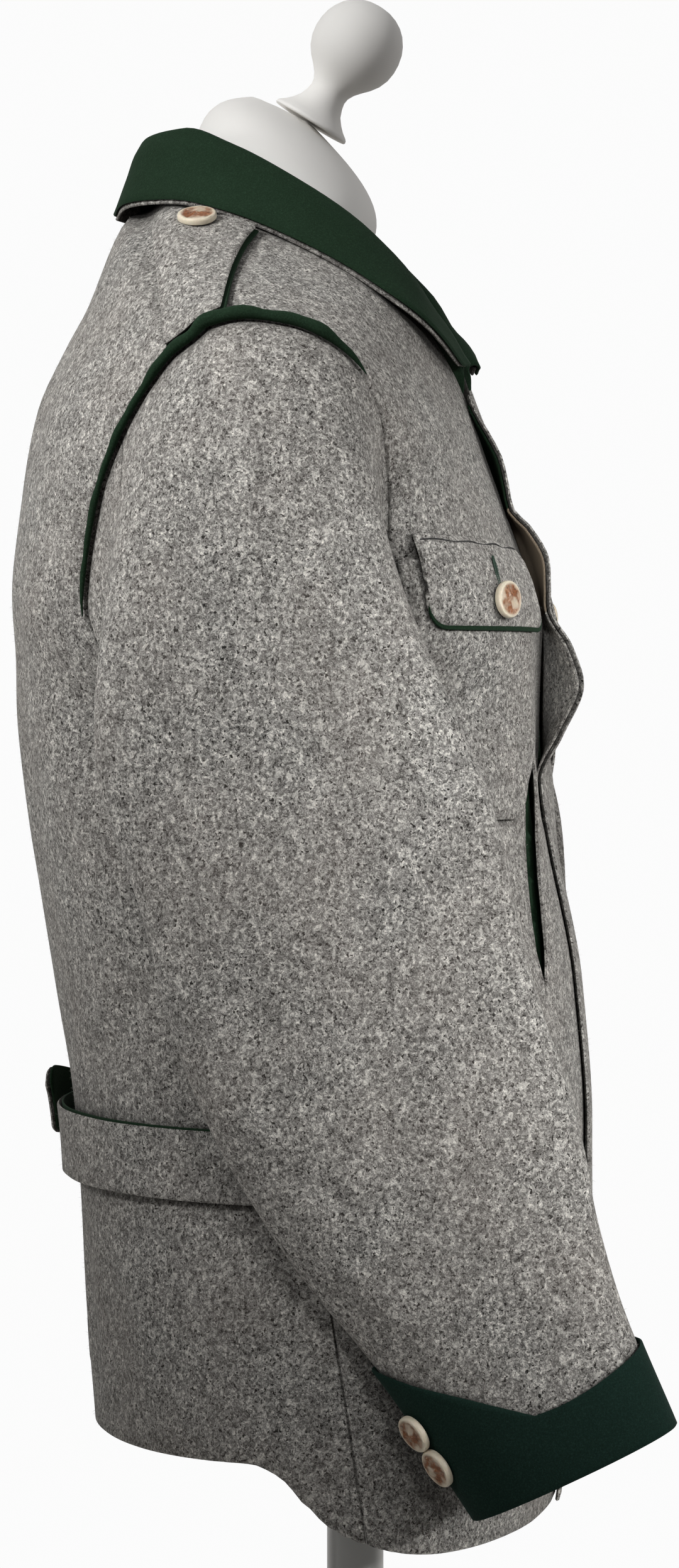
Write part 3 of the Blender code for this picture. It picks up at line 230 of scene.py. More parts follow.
# Each row: its start on the centre line or neckline (c), its end on the side seam or armhole (e),
# and where its two middle control points lie, as fractions of the way from c to e.
BACK = table(
    ROW_COLUMNS,
    (0, 141, 150, 214, -38, 150, 0.55, 0.00, 0.00, 1.04, 0.42, 1.00),  # below the hem
    (0, 151, 290, 202, -14, 290, 0.55, 0.00, 0.00, 1.03, 0.42, 1.00),
    (0, 156, 360, 190, 0, 360, 0.56, 0.00, 0.00, 1.02, 0.42, 1.00),  # half belt
    (0, 166, 440, 190, 16, 440, 0.57, 0.00, 0.00, 1.01, 0.42, 1.00),
    (0, 181, 525, 190, 32, 520, 0.58, 0.00, 0.00, 1.00, 0.40, 1.00),
    (0, 189, 590, 178, 42, 585, 0.60, 0.00, 0.00, 1.02, 0.38, 1.00),  # armpit
    (0, 190, 625, 176, 86, 598, 0.55, 0.00, 0.05, 0.96, 0.50, 0.85),
    (0, 190, 665, 172, 120, 645, 0.50, 0.00, 0.10, 0.93, 0.45, 0.80),
    (0, 186, 712, 180, 111, 699, 0.50, 0.00, 0.10, 0.90, 0.50, 0.70),
    (0, 176, 764, 188, 98, 731, 0.48, 0.00, 0.10, 0.86, 0.50, 0.65),
    (0, 150, 820, 197, 80, 758, 0.45, 0.00, 0.08, 0.80, 0.55, 0.60),
    (0, 125, 878, 204, 66, 773, 0.40, 0.10, 0.12, 0.75, 0.62, 0.62),  # nape
    (65, 95, 874, 208, 54, 781, 0.36, 0.30, 0.22, 0.70, 0.65, 0.62),
    (84, 62, 868, 211, 46, 787, 0.33, 0.33, 0.30, 0.67, 0.67, 0.63),  # shoulder seam
)
FRONT = table(
    ROW_COLUMNS,
    (0, -113, 150, 214, -38, 150, 0.58, 0.00, 0.00, 0.97, 0.40, 1.00),  # below the hem
    (0, -131, 290, 202, -14, 290, 0.58, 0.00, 0.00, 0.97, 0.40, 1.00),
    (0, -131, 360, 190, 0, 360, 0.58, 0.00, 0.00, 0.98, 0.40, 1.00),
    (0, -125, 440, 190, 16, 440, 0.58, 0.00, 0.00, 0.99, 0.40, 1.00),
    (0, -113, 525, 190, 32, 520, 0.60, 0.00, 0.00, 1.00, 0.40, 1.00),
    (0, -110, 590, 178, 42, 585, 0.62, 0.00, 0.00, 1.00, 0.40, 1.00),  # armpit
    (0, -108, 632, 174, 2, 600, 0.62, 0.00, 0.00, 1.00, 0.38, 0.80),
    (0, -99, 665, 172, -32, 640, 0.62, 0.00, 0.10, 1.00, 0.35, 0.80),
    (0, -85, 704, 172, -43, 690, 0.56, 0.00, 0.10, 0.95, 0.40, 0.80),
    (0, -73, 737, 178, -41, 735, 0.50, 0.00, 0.20, 0.90, 0.40, 0.80),
    (0, -63, 768, 188, -31, 763, 0.45, 0.05, 0.25, 0.82, 0.50, 0.80),  # neck pit
    (50, -49, 801, 201, -14, 779, 0.40, 0.20, 0.25, 0.74, 0.60, 0.70),
    (77, -19, 832, 208, 5, 787, 0.36, 0.28, 0.28, 0.70, 0.65, 0.66),
    (88, 24, 854, 212, 28, 790, 0.33, 0.33, 0.30, 0.67, 0.67, 0.63),
    (84, 62, 868, 211, 46, 787, 0.33, 0.33, 0.30, 0.67, 0.67, 0.63),  # shoulder seam
)
ARMPIT_ROW = 5

# Height of the hem by how far forward (-) or back (+) a point lies
HEM = table(
    "y z",
    (-120, 146), (-100, 152), (-66, 155), (-50, 158), (-33, 163), (-21, 168),
    (-9, 176), (2, 187), (14, 196), (26, 200), (60, 199), (145, 197),
)

# How far both front edges bow forward of the chest, and how far the left one's edge curls forward of that,
# between the places where they are held together
FRONT_EDGE = table(
    "z bow curl",
    (140, 0, 1), (300, 0, 1), (440, 0, 0), (520, -4, 0), (552, -9, 0), (578, -7, 11),
    (606, -5, 22), (628, -3, 15), (648, 0, 4), (662, 0, 8), (680, 0, 12), (696, 0, 8),
    (706, 0, 2), (718, 0, 4), (734, 0, 6), (750, 0, 3), (762, 0, 0), (790, 0, 0),
)
BOW_REACH = 58.0  # how far from the centre both fronts bow
CURL_REACH, CURL_FALL = 34.0, 1.6  # how far from the centre the left front's edge curls, and how steeply

# Sleeve sections below the armpit: centre, half sizes across (front to back) and through (side to side),
# their lean in degrees, and how far the left sleeve hangs out from the right one's pose, back from it, and
# more upright
SLEEVE = table(
    "x y z across through lean out back upright",
    (221, 7, 560, 94, 28, 14, 0, 0, 0), (222, -12, 508, 95, 28, 16, 3, 7, 3),
    (222, -25, 455, 94, 27, 19, 6, 16, 6), (222, -41, 407, 91, 27, 23, 10, 29, 10),
    (222, -61, 365, 86, 26, 26, 14, 46, 13), (222, -78, 330, 79, 26, 27, 18, 59, 13),
    (221, -94, 297, 69, 28, 28, 22, 68, 12), (220, -113, 259, 61, 29, 28, 26, 74, 10),
    (219, -143, 203, 55, 31, 26, 29, 80, 8),
)
SLEEVE_SQUARE = 2.25  # 2 is a round section, more is a squarer one
SLEEVE_SHORT = 2.2  # how far a sleeve ends inside its cuff
CUFF_FROM, CUFF_GAP = 6.0, 1.0  # section above which no cuff reaches, and the cuff's gap round the sleeve
# Height of the cuff's top edge above its bottom, once round from the outer side by way of the front
CUFF_EDGE = table("turn height", (0, 36), (0.05, 35), (0.25, 44), (0.5, 66), (0.75, 91), (0.85, 71), (1, 36))

# Collar: the fold and the leaf's edge, from the nape (0) to the front end (1)
COLLAR = table(
    "run foldx foldy foldz edgex edgey edgez",
    (0.00, 0, 118, 911, 0, 138, 877), (0.15, 33, 110, 914, 42, 125, 877),
    (0.30, 58, 86, 914, 77, 92, 874), (0.45, 73, 55, 901, 99, 55, 863),
    (0.60, 79, 18, 880, 106, 12, 844), (0.75, 72, -24, 849, 99, -29, 820),
    (0.88, 50, -50, 815, 75, -56, 799), (1.00, 14, -64, 789, 33, -65, 785),
)

KNOB_LEAN, KNOB_BASE_Y, KNOB_BASE_Z = 32.0, 26.0, 927.0
# Turned profiles of the knob above its foot, of the stand's foot, and of the pole above it: radius and height
KNOB = table(
    "radius height",
    (22.6, 0.2), (23, 0.9), (22.8, 1.8), (22, 2.8), (18.8, 5.2), (16, 8), (13.2, 11.6), (11.6, 16),
    (10.9, 19.5), (11.3, 22.6), (13.2, 26.2), (16, 29.5), (19.7, 33.4), (23, 38), (25.2, 43.4), (26, 49),
    (25.8, 54), (24.6, 59.6), (22.6, 64), (19.4, 68.6), (15.8, 71.9), (11.6, 74.3), (7.2, 75.8), (3, 76.4),
)
FOOT = table(
    "radius height",
    (BASE_RADIUS - 1.6, 0), (BASE_RADIUS - 0.4, 0.4), (BASE_RADIUS, 1.6), (BASE_RADIUS, BASE_THICK - 2.4),
    (BASE_RADIUS - 0.7, BASE_THICK - 0.7), (BASE_RADIUS - 2.4, BASE_THICK), (40, BASE_THICK),
)
POLE_FOOT = BASE_THICK + 0.3
POLE = table(
    "radius height",
    (28, POLE_FOOT), (28, POLE_FOOT + 4), (27.2, POLE_FOOT + 5.6), (25, POLE_FOOT + 6.6), (19, POLE_FOOT + 8),
    (POLE_RADIUS + 1, POLE_FOOT + 10), (POLE_RADIUS, POLE_FOOT + 12), (POLE_RADIUS, FORM_BOTTOM - 0.3),
)

# Creases: each runs from one place to another, by the turn round the piece in degrees and the height, and
# bends aside by `bend`. A trough has a negative depth. Body turns: 0 is the back, 90 the side, 180 the front.
CREASE_COLUMNS = "turn1 z1 turn2 z2 bend depth width"
BODY_CREASES = {
    RIGHT: table(
        CREASE_COLUMNS,
        (60, 640, 82, 470, 10, -3.4, 13), (44, 668, 62, 505, 8, 2.6, 16), (28, 610, 36, 430, -6, -1.8, 17),
        (14, 520, 20, 392, 5, 1.6, 18), (70, 455, 44, 385, -7, -2.2, 12), (88, 470, 74, 388, 5, 1.9, 13),
        (36, 318, 44, 215, 4, -2.6, 15), (60, 312, 70, 205, -5, 2.4, 17), (18, 322, 15, 214, 3, 1.5, 14),
        (96, 320, 104, 190, 5, -2.5, 16), (122, 560, 134, 400, 7, -2.0, 15),
        (112, 385, 124, 210, -6, 2.2, 18), (140, 330, 148, 175, 5, -1.9, 16),
        (146, 742, 132, 690, 5, -1.8, 11), (127, 716, 140, 668, -5, 1.6, 10), (8, 838, 30, 792, 5, 1.3, 13),
        (34, 800, 26, 700, -6, -1.4, 15),
    ),
    LEFT: table(
        CREASE_COLUMNS,
        (58, 635, 80, 480, 9, -3.1, 14), (42, 660, 57, 510, 7, 2.3, 15), (26, 600, 33, 425, -5, -2.0, 16),
        (12, 512, 17, 398, -4, 1.4, 17), (68, 450, 46, 384, -6, -2.0, 13), (86, 466, 72, 392, 6, 2.0, 12),
        (38, 316, 47, 210, 5, -2.4, 14), (63, 310, 72, 208, -6, 2.3, 16), (20, 320, 18, 212, 2, 1.6, 13),
        (98, 316, 107, 188, 4, -2.3, 17), (120, 556, 131, 402, 8, -2.2, 14),
        (110, 380, 122, 205, -5, 2.0, 17), (138, 326, 145, 178, 6, -1.7, 15),
        (144, 740, 130, 688, 6, -1.7, 12), (125, 712, 138, 668, -4, 1.5, 11), (7, 836, 27, 790, 6, 1.2, 14),
        (32, 796, 24, 704, -5, -1.5, 14),
    ),
}
# Sleeve turns: 0 is the outer side, 90 the front, 180 against the body, 270 the back
SLEEVE_CREASES = {
    RIGHT: table(
        CREASE_COLUMNS,
        (52, 655, 20, 520, 9, -1.7, 17), (335, 690, 318, 560, 7, 1.5, 18),
        (300, 640, 290, 500, -6, -2.0, 14), (8, 560, 350, 430, 8, 1.3, 22), (78, 520, 40, 455, 6, -2.2, 12),
        (84, 478, 52, 420, 5, 2.0, 11), (82, 446, 36, 384, 7, -2.4, 12), (76, 404, 30, 352, 5, 1.7, 13),
        (292, 470, 322, 392, -7, -1.9, 13), (286, 420, 318, 345, 6, 1.8, 12),
        (290, 372, 330, 312, -5, -1.7, 12), (10, 400, 345, 300, 7, -1.2, 18),
        (64, 330, 30, 275, 5, -1.5, 12), (300, 318, 338, 270, 4, 1.4, 11), (110, 500, 150, 420, 5, -2.4, 13),
        (250, 500, 210, 410, 5, -2.1, 14), (200, 380, 160, 300, 6, 1.9, 15),
        (140, 620, 170, 540, 5, -2.0, 14),
    ),
    LEFT: table(
        CREASE_COLUMNS,
        (50, 650, 22, 525, 8, -1.8, 16), (332, 684, 316, 566, 6, 1.6, 17),
        (298, 636, 288, 508, -5, -1.9, 15), (6, 556, 352, 438, 7, 1.4, 20), (80, 512, 44, 452, 5, -2.0, 13),
        (86, 470, 50, 418, 6, 1.8, 12), (80, 438, 38, 380, 6, -2.2, 13), (74, 398, 34, 348, 4, 1.6, 12),
        (290, 462, 324, 388, -6, -2.0, 12), (284, 414, 316, 342, 5, 1.7, 13),
        (292, 366, 328, 310, -6, -1.6, 13), (8, 396, 347, 304, 6, -1.3, 17), (62, 326, 32, 278, 4, -1.4, 13),
        (302, 314, 336, 272, 5, 1.3, 12), (112, 494, 148, 418, 6, -2.2, 14),
        (248, 492, 212, 412, 4, -2.0, 13), (198, 374, 162, 304, 5, 1.8, 14),
        (142, 614, 168, 546, 6, -1.9, 13),
    ),
}

# ---------------------------------------------------------------- curves


def smooth(knots, values, at):
    """Values at `at` on a smooth curve through the knots that never overshoots them."""
    at = np.clip(np.asarray(at, float), knots[0], knots[-1])
    steps = np.diff(knots)
    secants = np.diff(values) / steps
    slopes = np.zeros(len(knots))
    slopes[0], slopes[-1] = secants[0], secants[-1]
    same_way = secants[:-1] * secants[1:] > 0
    safe = np.where(same_way, secants[:-1] + secants[1:], 1.0)
    slopes[1:-1] = np.where(same_way, 2 * secants[:-1] * secants[1:] / safe, 0.0)
    i = np.clip(np.searchsorted(knots, at, side="right") - 1, 0, len(knots) - 2)
    step = steps[i]
    t = (at - knots[i]) / step
    return (
        (1 + 2 * t) * (1 - t) ** 2 * values[i]
        + t * (1 - t) ** 2 * step * slopes[i]
        + t**2 * (3 - 2 * t) * values[i + 1]
        + t**2 * (t - 1) * step * slopes[i + 1]
    )


def read(rows, column, at):
    """A column of a table at these places in its first column, on a smooth curve."""
    return smooth(next(iter(rows.values())), rows[column], at)


def ease(t):
    """0 to 1, level at both ends."""
    t = np.clip(t, 0.0, 1.0)
    return t * t * (3 - 2 * t)


def unit(vectors):
    """The same directions, at length 1."""
    return vectors / np.maximum(np.linalg.norm(vectors, axis=-1, keepdims=True), 1e-9)


def run_lengths(points):
    """How far along a line of points each of them lies."""
    return np.r_[0, np.cumsum(np.linalg.norm(np.diff(points, axis=0), axis=1))]


def evenly(points, count):
    """The line through the points, as `count` points at even distances along it."""
    lengths = run_lengths(points)
    at = np.linspace(0, lengths[-1], count)
    return np.column_stack([np.interp(at, lengths, points[:, k]) for k in range(3)])


def finer_steps(steps, count):
    """The same numbers with `count` even steps in place of each one."""
    steps = np.asarray(steps, float)
    return np.interp(np.arange(0, (len(steps) - 1) * count + 1) / count, np.arange(len(steps)), steps)


def finer_rows(points, count):
    """The grid with `count` rows in place of each one, on smooth curves through its points."""
    steps = np.maximum(np.linalg.norm(np.diff(points, axis=0), axis=2), 1e-6)[..., None]
    secants = np.diff(points, axis=0) / steps
    slopes = np.empty_like(points)
    slopes[1:-1] = (secants[:-1] * steps[1:] + secants[1:] * steps[:-1]) / (steps[1:] + steps[:-1])
    slopes[0] = 1.5 * secants[0] - 0.5 * slopes[1]
    slopes[-1] = 1.5 * secants[-1] - 0.5 * slopes[-2]
    made = []
    for k in range(count):
        t = k / count
        made.append(
            (1 + 2 * t) * (1 - t) ** 2 * points[:-1] + t * (1 - t) ** 2 * steps * slopes[:-1]
            + t**2 * (3 - 2 * t) * points[1:] + t**2 * (t - 1) * steps * slopes[1:]
        )
    fine = np.stack(made, axis=1).reshape(-1, *points.shape[1:])
    return np.concatenate([fine, points[-1:]])


def finer(grid, down, across):
    """The grid with more rows and columns."""
    return finer_rows(finer_rows(grid, down).swapaxes(0, 1), across).swapaxes(0, 1)


def corner_rise(radius, inset):
    """How far a corner rounded to this radius lies above its square edge, this far in from its side."""
    return radius - np.sqrt(radius**2 - np.maximum(radius - inset, 0) ** 2)


def grid_normals(grid, closed=False):
    """Unit normals of a grid of points; `closed` joins its last column to its first."""
    along = np.gradient(grid, axis=0)
    if closed:
        across = np.roll(grid, -1, axis=1) - np.roll(grid, 1, axis=1)
    else:
        across = np.gradient(grid, axis=1)
    return unit(np.cross(across, along))


# ---------------------------------------------------------------- creases

BODY_DEGREE, SLEEVE_DEGREE = 2.6, 1.5  # cloth in one degree of turn
CREASE_BEND = 1.6  # how far a crease's middle swings aside, by its `bend`
LIP_DEPTH, LIP_OFF = 0.3, 1.9  # the soft lip beside each crease, by its depth and its width
BODY_TURN_Y = 25.0  # depth of the line round which the body's turns go
# Where the armhole is at each height. Creases fade out beside it, at the shoulders and at the centre line
ARMHOLE_LINE = table("z x", (560, 260), (590, 178), (650, 172), (700, 174), (763, 188), (790, 212))
ARMHOLE_FADE, SHOULDER_TOP, SHOULDER_FADE, CENTRE_FADE = 28.0, 845.0, 60.0, 22.0
SLEEVE_OVAL = 2.2  # how much deeper than thick a sleeve is
SLEEVE_END, SLEEVE_END_FADE = 190.0, 40.0


def crease_depth(turn, z, creases, per_degree):
    """How far out the creases move a place, from its turn round the piece and its height. One degree of turn
    takes up `per_degree` millimetres of cloth."""
    moved = np.zeros_like(z)
    for k in range(len(creases["z1"])):
        line = {name: values[k] for name, values in creases.items()}
        off = ((turn - line["turn1"] + 180) % 360 - 180) * per_degree
        span = ((line["turn2"] - line["turn1"] + 180) % 360 - 180) * per_degree
        run = np.array([span, line["z2"] - line["z1"]])
        size = np.hypot(*run)
        inside = np.clip((off * run[0] + (z - line["z1"]) * run[1]) / size**2, 0, 1)
        aside = (off * run[1] - (z - line["z1"]) * run[0]) / size
        aside = aside - line["bend"] * np.sin(math.pi * inside) * CREASE_BEND
        taper = np.sin(math.pi * inside) ** 1.2
        wide = line["width"] * (0.75 + 0.5 * inside)
        lip = LIP_DEPTH * np.exp(-(((aside - LIP_OFF * wide) / wide) ** 2))
        moved += line["depth"] * taper * (np.exp(-((aside / wide) ** 2)) - lip)
    return moved


def soft_swell(points, seed):
    """The slow unevenness of heavy cloth, a few tenths of a millimetre."""
    x, y, z = np.moveaxis(points, -1, 0)
    return (
        0.45 * np.sin(x / 31 + seed) * np.sin(z / 43 + 1.7 * seed)
        + 0.35 * np.sin(y / 27 - seed) * np.sin(z / 29 + seed)
        + 0.2 * np.sin((x + y) / 15 + 2.1 * seed) * np.sin(z / 17 - seed)
    )


def body_creases(points, side):
    """How far out the body's cloth is moved at these points. The armhole, the shoulders, the neck and the
    centre line stay where they are sewn or lapped."""
    x, y, z = np.moveaxis(points, -1, 0)
    turn = np.degrees(np.arctan2(np.abs(x), y - BODY_TURN_Y))
    depth = crease_depth(turn, z, BODY_CREASES[side], BODY_DEGREE) + soft_swell(points, 2.0)
    edge = np.interp(z, ARMHOLE_LINE["z"], ARMHOLE_LINE["x"])
    armhole = ease((edge - np.abs(x)) / ARMHOLE_FADE)
    shoulder = ease((SHOULDER_TOP - z) / SHOULDER_FADE)
    centre = ease(np.abs(x) / CENTRE_FADE)
    return bpy.context.scene.jacket_cloth.crease * depth * armhole * shoulder * centre


def creased_body(points, normals, side):
    """The points moved out by the body's creases."""
    return points + normals * body_creases(points, side)[..., None]


def sleeve_centre(side, z):
    """Where the middle of a sleeve is at these heights."""
    knots = SLEEVE["z"][::-1]
    return [
        np.interp(z, knots, (SLEEVE[axis] + (SLEEVE[moved] if side == LEFT else 0))[::-1])
        for axis, moved in (("x", "out"), ("y", "back"))
    ]


def sleeve_creases(points, side, cap=1.0):
    """How far out the sleeve's cloth is moved at these points. `cap` fades it to nothing at the armhole."""
    x, y, z = np.moveaxis(points, -1, 0)
    centre_x, centre_y = sleeve_centre(side, z)
    turn = np.degrees(np.arctan2((centre_y - y) / SLEEVE_OVAL, np.abs(x) - centre_x)) % 360
    depth = crease_depth(turn, z, SLEEVE_CREASES[side], SLEEVE_DEGREE) + soft_swell(points, 4.0)
    return bpy.context.scene.jacket_cloth.crease * depth * cap * ease((z - SLEEVE_END) / SLEEVE_END_FADE)


# ---------------------------------------------------------------- the body surface

STEPS = 5  # fine rows or columns for each one of the cut


def slit_at(z):
    """Distance of the slit from the centre front at this height: it slants to the side on its way down."""
    return SLIT_UPPER_AT + (SLIT_LOWER_AT - SLIT_UPPER_AT) * (SLIT_TOP - z) / (SLIT_TOP - SLIT_BOTTOM)


def slit_sink(x, z):
    """How far the cloth beside the hand-warmer slit lies behind the smooth front."""
    at = slit_at(z)
    window = ease((z - SLIT_BOTTOM + SLIT_SINK_BELOW) / SLIT_SINK_LOW)
    window = window * ease((SLIT_TOP - SLIT_SINK_ABOVE - z) / SLIT_SINK_HIGH)
    front = SLIT_FRONT_SINK * ease((x - SLIT_SINK_NEAR) / (at - SLIT_SINK_NEAR))
    rear = SLIT_REAR_SINK * ease((SLIT_SINK_FAR - x) / (SLIT_SINK_FAR - at))
    return window * np.where(x < at, front, rear)


class Panel:
    """Half of the front or of the back, as a fine lattice of the cloth's outer face."""

    ROWS, COLUMNS = 30, 120

    def __init__(self, rows, side, is_front):
        self.side, self.is_front = side, is_front
        self.last = len(rows["cx"]) - 1
        knots = np.arange(self.last + 1.0)
        self.levels = np.linspace(0, self.last, self.last * self.ROWS + 1)
        self.shares = np.linspace(0, 1, self.COLUMNS + 1)
        at = {name: smooth(knots, values, self.levels)[:, None] for name, values in rows.items()}
        lattice = []
        for axis in "xyz":
            start, reach = at["c" + axis], at["e" + axis] - at["c" + axis]
            first, second = at[f"f{axis}1"], at[f"f{axis}2"]
            a = self.shares[None, :]
            along = 3 * a * (1 - a) ** 2 * first + 3 * a * a * (1 - a) * second + a**3
            lattice.append(start + reach * along)
        self.points = np.stack(lattice, axis=-1)
        if is_front:
            bow = read(FRONT_EDGE, "bow", self.points[..., 2])
            self.points[..., 1] -= bow * ease(1 - self.points[..., 0] / BOW_REACH)
        # Distances are measured along the cloth as it was cut, before it sinks beside the slit
        steps = np.linalg.norm(np.diff(self.points, axis=1), axis=2)
        self.reach = np.concatenate([np.zeros((len(steps), 1)), np.cumsum(steps, axis=1)], axis=1)
        if is_front:
            self.points[..., 1] += slit_sink(self.points[..., 0], self.points[..., 2])
        self.points[..., 0] *= side
        self.normals = grid_normals(self.points)
        if self.normals[2 * self.ROWS, 5, 1] * (-1 if is_front else 1) < 0:
            self.normals = -self.normals

    def look_up(self, lattice, level, share):
        """The lattice at these rows and shares, which may be arrays."""
        i = np.clip(level, 0, self.last) * self.ROWS
        j = np.clip(share, 0, 1) * self.COLUMNS
        i0 = np.minimum(i.astype(int), lattice.shape[0] - 2)
        j0 = np.minimum(j.astype(int), lattice.shape[1] - 2)
        u, v = (i - i0)[..., None], (j - j0)[..., None]
        near = lattice[i0, j0] * (1 - v) + lattice[i0, j0 + 1] * v
        far = lattice[i0 + 1, j0] * (1 - v) + lattice[i0 + 1, j0 + 1] * v
        return near * (1 - u) + far * u

    def point(self, level, share):
        """Points of the cloth's outer face."""
        return self.look_up(self.points, *np.broadcast_arrays(np.asarray(level, float), share))

    def normal(self, level, share):
        """The way the cloth faces there."""
        return unit(self.look_up(self.normals, *np.broadcast_arrays(np.asarray(level, float), share)))

    def level_at(self, share, z):
        """The row that passes height z at this share of the way across."""
        j = float(np.clip(share, 0, 1)) * self.COLUMNS
        j0 = min(int(j), self.COLUMNS - 1)
        column = self.points[:, j0, 2] * (1 - j + j0) + self.points[:, j0 + 1, 2] * (j - j0)
        return float(np.interp(z, column, self.levels))

    def place(self, distance, z):
        """Row and share of the place this far along the cloth from the centre line, at height z."""
        share = 0.3
        for _ in range(5):
            level = self.level_at(share, z)
            i = min(int(round(level * self.ROWS)), len(self.reach) - 1)
            share = float(np.interp(distance, self.reach[i], self.shares))
        return level, share

    def hem_level(self, share):
        """The row at which the hem cuts this column."""
        column = self.points[: 2 * self.ROWS, int(round(share * self.COLUMNS))]
        gap = column[:, 2] - read(HEM, "z", column[:, 1])
        return float(np.interp(0, gap, self.levels[: 2 * self.ROWS]))


PANELS = {
    (part, side): Panel(rows, side, part == "front")
    for part, rows in (("back", BACK), ("front", FRONT))
    for side in (RIGHT, LEFT)
}

SHARES = finer_steps([0, 0.04, 0.1, 0.2, 0.32, 0.44, 0.56, 0.68, 0.78, 0.87, 0.94, 1.0], STEPS)
SLIT_COLUMN = 3 * STEPS
LOW_ROWS = finer_steps([0, 0.14, 0.28, 0.41, 0.5, 0.566, 0.65, 0.74, 0.83, 0.915, 0.96, 1.0], STEPS)
SLIT_ROWS = range(6 * STEPS, 10 * STEPS)
HIGH_ROWS = {
    "back": finer_steps([5, 5.55, 6.2, 6.9, 7.6, 8.3, 9.0, 9.7, 10.35, 11, 11.5, 12, 12.5, 13], STEPS),
    "front": finer_steps([5, 5.35, 5.9, 6.45, 7.0, 7.4, 8.0, 8.9, 10, 10.6, 11.2, 12, 13, 14], STEPS),
}
ARMPIT = len(LOW_ROWS) - 1
NECK_PIT = ARMPIT + 8 * STEPS
RING_HALF = len(HIGH_ROWS["back"]) - 1
LOW_Z, HIGH_Z = 150.0, 588.0  # heights of the first and last low row, near enough to place the slit's columns


def slit_shares(panel, row):
    """Shares of the two columns beside the slit, closest together at its ends."""
    first, last = SLIT_ROWS[0], SLIT_ROWS[-1] + 1
    z = LOW_Z + (HIGH_Z - LOW_Z) * LOW_ROWS[min(max(row, first), last)]
    half = SLIT_WIDTH / 2 + 1.0
    if first <= row <= last:
        along = (row - first) / (last - first)
        half = max(SLIT_END_WIDTH, SLIT_WIDTH / 2 * math.sin(math.pi * along) ** 0.5)
    return panel.place(slit_at(z) - half, z)[1], panel.place(slit_at(z) + half, z)[1]


def panel_grid(panel):
    """Outer points and normals of a body panel. A front has fine columns up to each lip of its slit."""
    high = HIGH_ROWS["front" if panel.is_front else "back"]
    count = ARMPIT + len(high)
    shares = np.tile(SHARES, (count, 1))
    if panel.is_front:
        near, far = SLIT_COLUMN - STEPS, SLIT_COLUMN + STEPS
        rows = []
        for i in range(count):
            front, rear = slit_shares(panel, i)
            rows.append(np.r_[
                SHARES[:near], np.linspace(SHARES[near], front, STEPS + 1),
                np.linspace(rear, SHARES[far], STEPS + 1), SHARES[far + 1 :],
            ])
        shares = np.array(rows)
    levels = np.empty_like(shares)
    levels[ARMPIT:] = high[:, None]
    for j in range(shares.shape[1]):
        bottom = panel.hem_level(shares[0, j])
        low_z, high_z = panel.point(bottom, shares[0, j])[2], panel.point(ARMPIT_ROW, shares[0, j])[2]
        levels[0, j] = bottom
        for i in range(1, ARMPIT):
            levels[i, j] = panel.level_at(shares[i, j], low_z + (high_z - low_z) * LOW_ROWS[i])
    grid, normals = panel.point(levels, shares), panel.normal(levels, shares)
    other = PANELS["back" if panel.is_front else "front", panel.side]
    normals[-1] = unit(normals[-1] + other.normal(np.full(shares.shape[1], float(other.last)), shares[-1]))
    return grid, normals


def join_seams(back, front):
    """Brings the two panels of one side together at the side and shoulder seams, a seam gap apart."""
    rows = np.s_[: ARMPIT + 1, -1]
    middle, mean = (back[0][rows] + front[0][rows]) / 2, unit(back[1][rows] + front[1][rows])
    for grid, normals in (back, front):
        grid[rows], normals[rows] = middle, mean
        grid[rows] += unit(grid[: ARMPIT + 1, -2] - grid[rows]) * SEAM_GAP / 2
        grid[-1] += unit(grid[-2] - grid[-1]) * SEAM_GAP / 2


def body_cut():
    """Points and normals of the four body panels, with no creases yet."""
    if not BODY_CUT:
        for key, panel in PANELS.items():
            BODY_CUT[key] = panel_grid(panel)
        for side in (RIGHT, LEFT):
            join_seams(BODY_CUT["back", side], BODY_CUT["front", side])
    return BODY_CUT


BODY_CUT = {}

# ---------------------------------------------------------------- pieces


def mesh_object(name, points, faces, finish, sharp=50):
    """A new piece at the origin, from points in millimetres, its faces pointing outwards."""
    points = np.asarray(points, float) * MM
    used = np.unique(np.concatenate([np.ravel(face) for face in faces]) if isinstance(faces, list) else faces)
    fresh = np.full(len(points), -1)
    fresh[used] = np.arange(len(used))
    points = points[used]
    if isinstance(faces, list):
        faces = [[int(fresh[v]) for v in face] for face in faces]
    else:
        faces = fresh[faces].tolist()
    mesh = bpy.data.meshes.new(name)
    mesh.from_pydata(points.tolist(), [], faces)
    first = np.array([points[face[0]] for face in faces])
    volume = 0.0
    for k in (1, 2):
        second = np.array([points[face[k]] for face in faces])
        third = np.array([points[face[(k + 1) % len(face)]] for face in faces])
        volume += float((first * np.cross(second, third)).sum())
    if volume < 0:
        mesh.flip_normals()
    mesh.materials.append(finish)
    mesh.shade_smooth()
    mesh.set_sharp_from_angle(angle=math.radians(sharp))
    obj = bpy.data.objects.new(name, mesh)
    bpy.context.scene.collection.objects.link(obj)
    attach(obj, BODY)
    return obj


def ring_faces(rows, sides, closed=False):
    """Squares between rings of points, with a fan at each end unless the rings close on themselves."""
    starts = np.arange(rows if closed else rows - 1)
    i, j = (part.ravel() for part in np.meshgrid(starts, np.arange(sides), indexing="ij"))
    near, far, k = i * sides, (i + 1) % rows * sides, (j + 1) % sides
    faces = np.stack([near + j, near + k, far + k, far + j], axis=1).tolist()
    if not closed:
        faces += [list(range(sides))[::-1], [(rows - 1) * sides + side for side in range(sides)]]
    return faces


